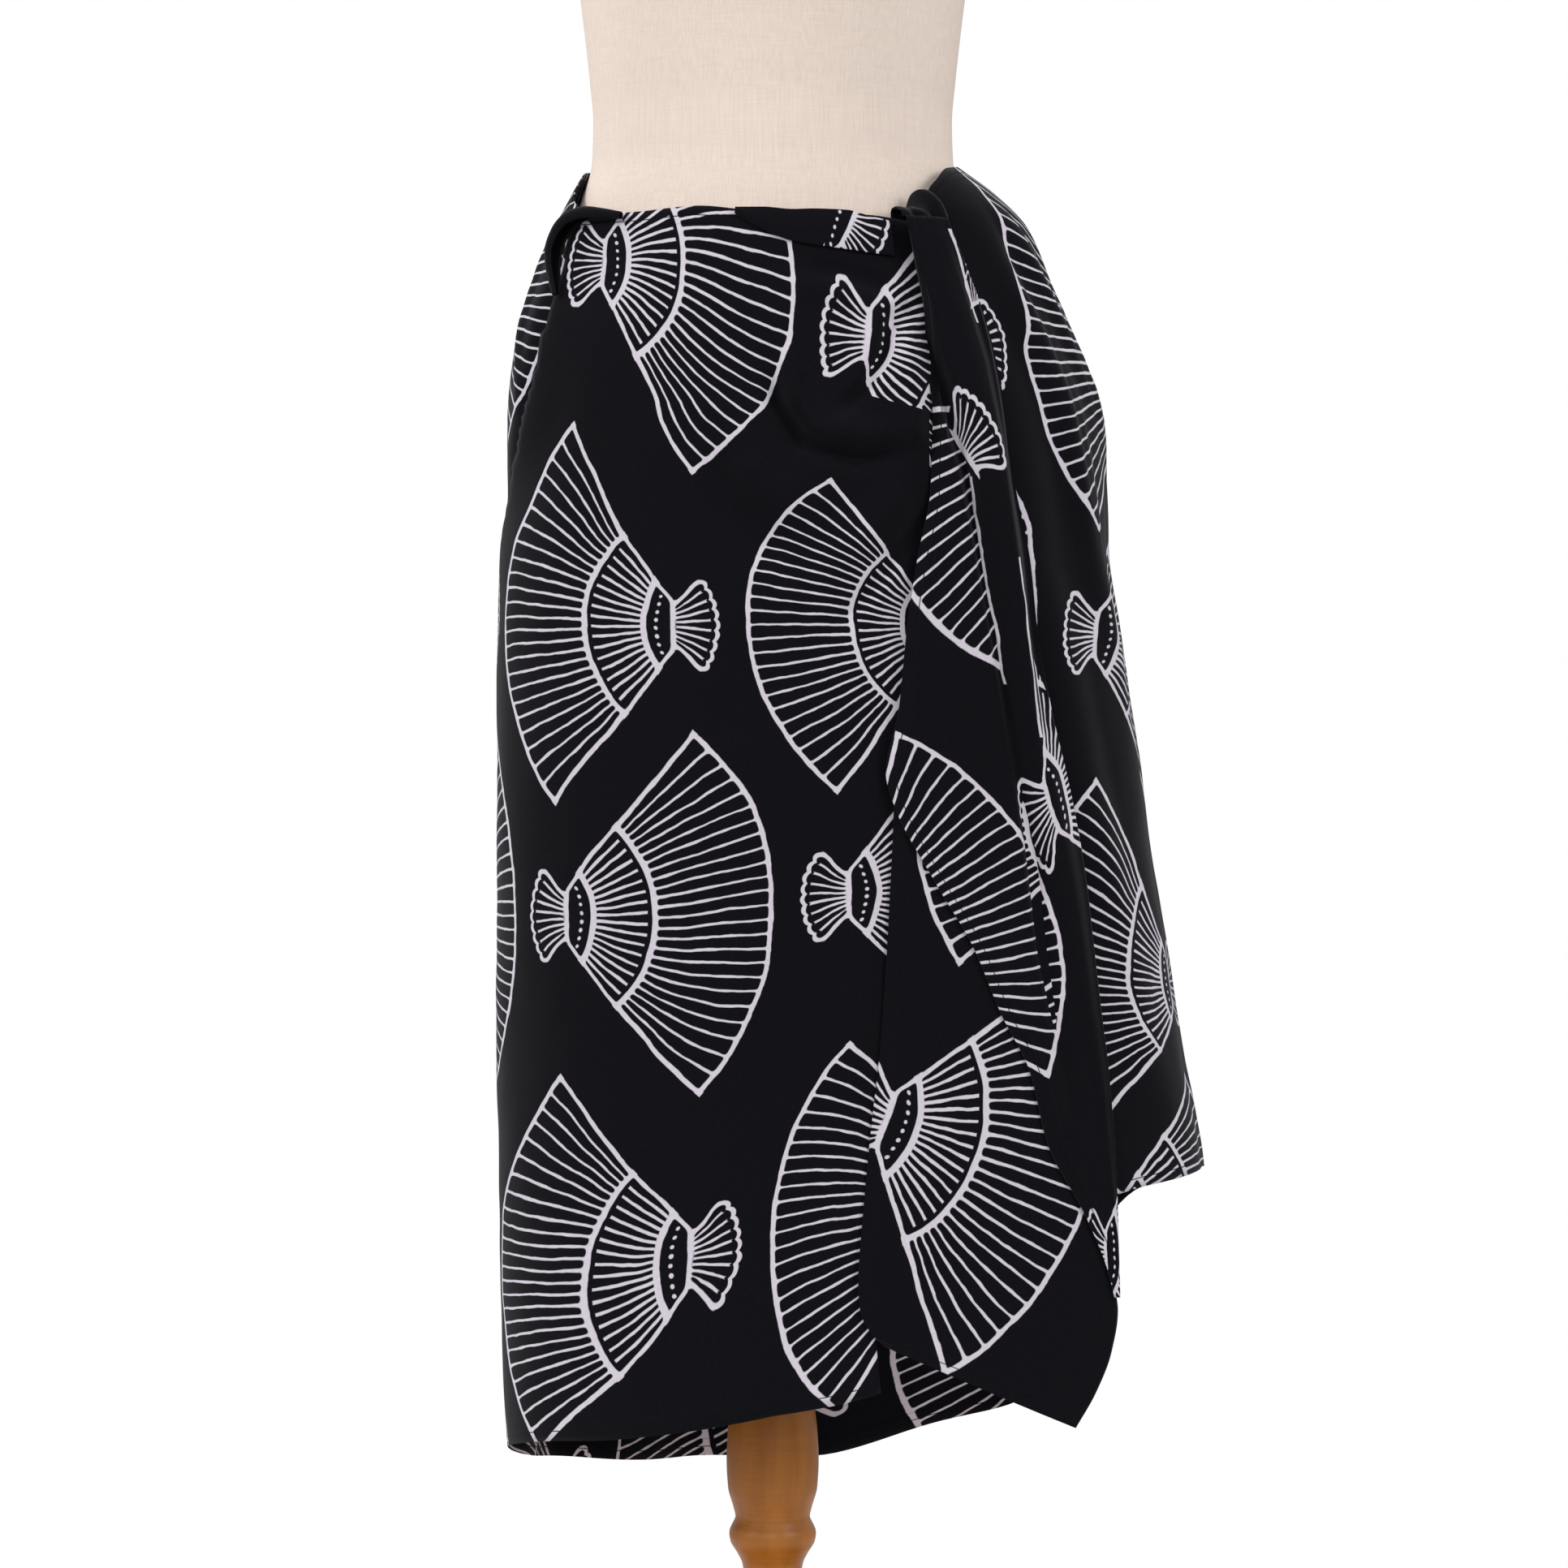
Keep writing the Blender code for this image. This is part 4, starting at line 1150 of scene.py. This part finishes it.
def front_end(height):
    return bearing_across(valley_across(height) + VALLEY_TUCK, height)


def wrap_spot(u, v):
    """The bearing and height of a place on the wrap. The front's columns lie closer together."""
    last = front_end(MIDDLE_HEIGHT)
    if u < FRONT_SHARE:
        middle = INNER_END + (FRONT_START - INNER_END) * u / FRONT_SHARE
    else:
        middle = FRONT_START + (last - FRONT_START) * (u - FRONT_SHARE) / (1 - FRONT_SHARE)
    top, hem = edge_top(middle), edge_hem(middle)
    if middle > FRONT_START:
        share = (middle - FRONT_START) / (last - FRONT_START)
        hem = edge_hem(FRONT_START + (front_end(HEM_HEIGHT) - FRONT_START) * share)
    height = top + (hem - top) * (TOP_DENSITY * v + (1 - TOP_DENSITY) * v * v)
    if middle > FRONT_START:
        share = (middle - FRONT_START) / (last - FRONT_START)
        return FRONT_START + (front_end(height) - FRONT_START) * share, height
    return middle, height


def pulled(pulls, along, up):
    """Moves a place on the flat cloth by the pulls near it."""
    shift_along, shift_up, weight = 0.0, 0.0, PULL_REST
    for pull in pulls:
        away = math.hypot(along - pull.along, up - pull.height) / PULL_REACH
        near = math.exp(-away * away)
        shift_along += near * pull.shift_along
        shift_up += near * pull.shift_up
        weight += near
    inner = 1 - eased((along - INNER_FROM) / INNER_FADE)
    along += shift_along / weight + INNER_ALONG * inner
    return along, up + shift_up / weight + INNER_UP * inner


def seen_from_front(corner):
    """The pixel of the photograph at which the camera sees a corner of the cloth."""
    sight = corner.co - CAMERA_PLACE
    scale = PHOTO_SIZE * LENS / SENSOR / sight.y
    return PHOTO_SIZE / 2 + scale * sight.x, PHOTO_SIZE / 2 - scale * sight.z


def point_on_print(fan, point):
    """Where a point of a fan lies on the flat cloth, in metres."""
    middle = RIGHT_FAN if fan.opens > 0 else LEFT_FAN
    along = middle[0] + FAN_PITCH * fan.column + fan.opens * FAN_SIZE * point[0]
    up = middle[1] + FAN_PERIOD * fan.row + FAN_SIZE * point[1]
    return along / 1000, up / 1000


def measured_pulls(inner, outer, flat):
    """How far the flat cloth must move at each mark, for the fans to be where the photograph shows them."""
    pulls = []
    for fan in SEEN_FANS:
        corners = [(seen_from_front(corner), corner) for corner in (inner if fan.column < 0 else outer)]
        for point, (px, py) in fan.marks.items():
            seen, corner = min(corners, key=lambda pair: math.hypot(pair[0][0] - px, pair[0][1] - py))
            along = flat[corner][0] + (px - seen[0]) * PIXEL
            up = flat[corner][1] - (py - seen[1]) * PIXEL
            there = pulled((), along, up)
            wanted = point_on_print(fan, FAN_POINTS[point])
            pulls.append(Pull(along, up, wanted[0] - there[0], wanted[1] - there[1]))
    return pulls


def balanced_pulls(measured):
    """Strengthens the pulls in a few rounds, because neighbours weaken each other."""
    pulls = measured
    for _ in range(PULL_ROUNDS):
        stronger = []
        for pull, goal in zip(pulls, measured):
            along, up = pulled(pulls, pull.along, pull.height)
            bare = pulled((), pull.along, pull.height)
            shift_along = pull.shift_along + PULL_GAIN * (goal.shift_along - along + bare[0])
            shift_up = pull.shift_up + PULL_GAIN * (goal.shift_up - up + bare[1])
            stronger.append(Pull(pull.along, pull.height, shift_along, shift_up))
        pulls = stronger
    return pulls


def make_wrap(material):
    """The whole wrap, whose cloth is laid flat from the line at the middle of the front."""
    columns, down = 320, 150

    def place(u, v):
        bearing, height = wrap_spot(u, v)
        return wrap_place(bearing, height)

    def lay(rows, flat):
        middle = next(n for n in range(columns + 1) if wrap_spot(n / columns, 0.5)[0] >= 270)
        hip = round(columns * FRONT_SHARE)
        level = min(range(down + 1), key=lambda n: abs(rows[n][hip].co.z - MIDDLE_HEIGHT))
        back_run = [0.0] * (columns + 1)
        for n in range(hip - 1, -1, -1):
            back_run[n] = back_run[n + 1] + (rows[level][n].co - rows[level][n + 1].co).length
        for corners in rows:
            run = [0.0] * (columns + 1)
            for n in range(middle + 1, columns + 1):
                run[n] = run[n - 1] + (corners[n].co - corners[n - 1].co).length
            for n in range(middle - 1, hip - 1, -1):
                run[n] = run[n + 1] - (corners[n].co - corners[n + 1].co).length
            for n in range(hip):
                run[n] = run[hip] - back_run[n]
            crossing = next(n for n in range(hip, columns) if corners[n + 1].co.x >= 0)
            before, after = corners[crossing].co.x, corners[crossing + 1].co.x
            middle_run = run[crossing] + (run[crossing + 1] - run[crossing]) * -before / (after - before)
            for n, corner in enumerate(corners):
                flat[corner] = (run[n] - middle_run, corner.co.z)
        seen = [corner for corner in flat if corner.co.y < SEEN_DEPTH]
        inner = [corner for corner in seen if flat[corner][0] < MIDDLE_OF_BACK]
        outer = [corner for corner in seen if flat[corner][0] > MIDDLE_OF_BACK]
        pulls = balanced_pulls(measured_pulls(inner, outer, flat))
        for corner, place_on_cloth in flat.items():
            flat[corner] = pulled(pulls, *place_on_cloth)

    piece = cloth_piece("sarong_wrap", columns, down, place, lay, ("hem", "top", "left"), material,
                        ("side_panel", "back_panel", "front_panel"))
    return piece


def flat_by_view(rows, flat):
    """The tail faces forwards, so its places across and up serve as its flat cloth, apart from the
    steep parts at its edges, where the run of the cloth counts."""
    for corners in rows:
        middle = len(corners) // 2
        flat[corners[middle]] = (corners[middle].co.x, corners[middle].co.z)
        for step in (1, -1):
            across = corners[middle].co.x
            for n in range(middle + step, len(corners) if step > 0 else -1, step):
                run = corners[n].co - corners[n - step].co
                across += step * max(abs(run.x), TURNED_SHARE * run.length)
                flat[corners[n]] = (across, corners[n].co.z)


def flat_by_run(rows, flat):
    """Lays a rolled piece flat by the length of its cloth."""
    down = 0.0
    for n, corners in enumerate(rows):
        if n:
            down += (corners[0].co - rows[n - 1][0].co).length
        run = 0.0
        for m, corner in enumerate(corners):
            if m:
                run += (corner.co - corners[m - 1].co).length
            flat[corner] = (run, -down)


def make_tail_under(material):
    column = {name: stepped(TAIL_UNDER, name) for name in TAIL_UNDER[0]._fields}

    def place(u, v):
        left_height, right_height = column["left_height"](v), column["right_height"](v)
        left, right = column["left"](v), column["right"](v)
        height = left_height + (right_height - left_height) * u
        across = left + (right - left) * u
        turn = 1 - eased(u / UNDER_TURN_SHARE)
        drape = UNDER_DRAPE * math.sin(math.pi * u) * eased(v)
        lift = TAIL_UNDER_LIFT - UNDER_TURN_IN * turn + drape
        return on_front(across, height, lift)

    piece = cloth_piece("tail_lower_layer", 90, 130, place, flat_by_view, ("hem",), material,
                        ("tail_under",))
    return piece


def tail_over_lift(u, height):
    """Flat along the free edge, rounded at the fold, with the ridge from the knot."""
    free = eased((FREE_EDGE_TOP - height) / FREE_EDGE_FADE)
    turned_in = (1 - free) * eased((VALLEY_TOP - height) / FREE_EDGE_FADE)
    rise = ridge_rise(height)
    climb = eased((u - ridge_share(height) + RIDGE_CLIMB) / RIDGE_CLIMB)
    round_off = eased((u - 1 + FOLD_SHARE) / FOLD_SHARE)
    lift = TAIL_OVER_LIFT + rise * climb
    lift -= FREE_EDGE_SETTLE * free * (1 - eased(u / FREE_EDGE_SHARE))
    lift -= OVER_TURN_IN * turned_in * (1 - eased(u / OVER_TURN_SHARE))
    return lift - (rise + FOLD_SINK) * round_off


def make_tail_over(material):
    top, foot = TAIL_OVER[0].height, TAIL_OVER[-1].height

    def place(u, v):
        height = top + (foot - top) * v
        left, right = tail_left(height), tail_right(height)
        across = left + (right - left) * u
        lift = tail_over_lift(u, height) + path_rise(TAIL_CREASES, across, height)
        return on_front(across, height, lift)

    piece = cloth_piece("tail_upper_layer", 90, 250, place, flat_by_view, ("left",), material,
                        ("tail_over",))
    return piece


def make_hip_fold(material):
    column = {name: stepped(HIP_FOLD, name) for name in HIP_FOLD[0]._fields}

    def middle(v):
        bearing, height = column["bearing"](v), column["height"](v)
        lift = wrap_lift(bearing) + column["lift"](v)
        return on_wrap(bearing, height, lift), on_wrap(bearing, height, lift + OUTWARD_STEP)

    def place(u, v):
        centre, further = middle(v)
        run = (middle(min(1, v + ROLL_STEP))[0] - middle(max(0, v - ROLL_STEP))[0]).normalized()
        outward = (further - centre).normalized()
        sideways = run.cross(outward).normalized()
        radius = column["radius"](v)
        angle = math.radians(HIP_ROLL_OPENING / 2 + (360 - HIP_ROLL_OPENING) * u)
        return centre - sideways * radius * math.cos(angle) + outward * radius * math.sin(angle)

    piece = cloth_piece("hip_rolled_fold", 48, 120, place, flat_by_run, (), material, ("hip_fold",))
    return piece


def make_waist_turnover(material):
    first, last = TURNOVER[0].bearing, TURNOVER[-1].bearing
    top, foot = curve(TURNOVER, "bearing", "top"), curve(TURNOVER, "bearing", "foot")

    def place(u, v):
        bearing = first + (last - first) * u
        height = top(bearing) + (foot(bearing) - top(bearing)) * v
        return on_wrap(bearing, height, TURNOVER_LIFT + TURNOVER_BULGE * math.sin(math.pi * v))

    piece = cloth_piece("waist_rolled_edge", 140, 28, place, flat_by_view, (), material,
                        ("waist_turnover",))
    return piece


def make_waist_knot(material):
    column = {name: stepped(KNOT, name) for name in KNOT[0]._fields}

    def place(u, v):
        pleat = KNOT_PLEAT_RISE * math.sin(math.tau * KNOT_PLEATS * u) * (1 - v)
        left, right = column["left"](v), column["right"](v)
        dipped = 1 - eased((u - KNOT_DIP_FROM) / (KNOT_DIP_TO - KNOT_DIP_FROM))
        height = column["height"](v) - KNOT_DIP * math.sin(math.pi * v) * dipped
        return on_front(left + (right - left) * u, height, column["lift"](v) + pleat)

    piece = cloth_piece("waist_tie", 80, 80, place, flat_by_run, (), material, ("waist_knot",))
    return piece


def closed_form(name, around, up, place, material, node):
    """A closed body round the axis: a grid joined to itself, with a cap at each end."""
    grid, rows = laid_grid(around, up, place)
    bmesh.ops.remove_doubles(grid, verts=grid.verts, dist=0.00001)
    bmesh.ops.holes_fill(grid, edges=[edge for edge in grid.edges if edge.is_boundary], sides=0)
    bmesh.ops.recalc_face_normals(grid, faces=grid.faces)
    piece = finished_piece(name, grid, material, (node,))
    piece.data.set_sharp_from_angle(angle=math.radians(50))
    return piece


def make_torso(material):
    low, high = FORM[0].height, FORM[-1].height

    def place(u, v):
        height = high + (low - high) * v
        angle = -math.tau * u
        depth = form_reach["back" if math.sin(angle) > 0 else "front"](height)
        return Vector((form_reach["side"](height) * math.cos(angle), depth * math.sin(angle), height))

    return closed_form("dress_form_torso", 128, 150, place, material, "form_torso")


def make_turned(name, rows, steps, material, node):
    radius = curve(rows, "height", "radius")
    low, high = rows[0].height, rows[-1].height

    def place(u, v):
        height = high + (low - high) * v
        angle = -math.tau * u
        return Vector((radius(height) * math.cos(angle), radius(height) * math.sin(angle), height))

    return closed_form(name, 96, steps, place, material, node)


def make_studio():
    """A pale floor, soft light from all round, and the camera at the photograph's angle."""
    floor = bmesh.new()
    bmesh.ops.create_circle(floor, cap_ends=True, radius=FLOOR_RADIUS, segments=96)
    mesh = bpy.data.meshes.new("studio_floor")
    floor.to_mesh(mesh)
    floor.free()
    ground = bpy.data.objects.new("studio_floor", mesh)
    mesh.materials.append(floor_material())
    bpy.context.scene.collection.objects.link(ground)

    world = bpy.data.worlds.new("Studio")
    world.use_nodes = True
    tree = world.node_tree
    backdrop = tree.nodes["Background"]
    backdrop.inputs["Color"].default_value = (1, 1, 1, 1)
    glow = tree.nodes.new("ShaderNodeBackground")
    glow.inputs["Color"].default_value = (1, 1, 1, 1)
    heights = tree.nodes.new("ShaderNodeSeparateXYZ")
    tree.links.new(tree.nodes.new("ShaderNodeTexCoord").outputs["Generated"], heights.inputs["Vector"])
    brightness = Reading(tree, heights.outputs["Z"]).rise(-0.5, 0.6).between(SKY_LOW, SKY_HIGH)
    feed(tree, brightness, glow.inputs["Strength"])
    seen = tree.nodes.new("ShaderNodeLightPath")
    mixed = tree.nodes.new("ShaderNodeMixShader")
    tree.links.new(seen.outputs["Is Camera Ray"], mixed.inputs["Fac"])
    tree.links.new(glow.outputs["Background"], mixed.inputs[1])
    tree.links.new(backdrop.outputs["Background"], mixed.inputs[2])
    tree.links.new(mixed.outputs["Shader"], tree.nodes["World Output"].inputs["Surface"])
    bpy.context.scene.world = world
    bpy.context.scene.view_settings.view_transform = "Standard"

    for name, place, size, power in (
        ("Left soft light", (-2.3, -1.3, 1.9), 0.9, 34),
        ("Left rim light", (-2.1, 1.3, 1.7), 1.0, 8),
        ("Right soft light", (2.3, -1.7, 1.9), 1.2, 30),
        ("Front soft light", (-0.4, -3.2, 1.9), 1.6, 14),
    ):
        lamp = bpy.data.lights.new(name, "AREA")
        lamp.energy = power
        lamp.size = size
        light = bpy.data.objects.new(name, lamp)
        light.location = place
        aim = Vector((0, 0, LIT_HEIGHT)) - light.location
        light.rotation_euler = aim.to_track_quat("-Z", "Y").to_euler()
        bpy.context.scene.collection.objects.link(light)

    lens = bpy.data.cameras.new("Camera")
    lens.sensor_fit = "HORIZONTAL"
    lens.sensor_width = SENSOR
    lens.lens = LENS
    camera = bpy.data.objects.new("Camera", lens)
    camera.location = CAMERA_PLACE
    camera.rotation_euler = (math.radians(90), 0, 0)
    bpy.context.scene.collection.objects.link(camera)
    bpy.context.scene.camera = camera


def main():
    fans = fan_field()
    batik = batik_material("Batik rayon", fans)
    make_wrap(batik)
    make_tail_under(batik_material("Batik rayon of the lower tail", fans, TAIL_UNDER_FANS))
    make_tail_over(batik_material("Batik rayon of the upper tail", fans, TAIL_OVER_FANS))
    plain = batik_material("Plain black rayon", fans, PLAIN_CLOTH)
    make_hip_fold(plain)
    make_waist_turnover(batik_material("Batik rayon of the rolled edge", fans, TURNOVER_FANS))
    make_waist_knot(plain)
    make_torso(linen_material())
    wood = wood_material()
    make_turned("form_turned_post", POST, 280, wood, "form_post")
    make_turned("form_round_base", BASE, 60, wood, "form_base")
    make_studio()


main()
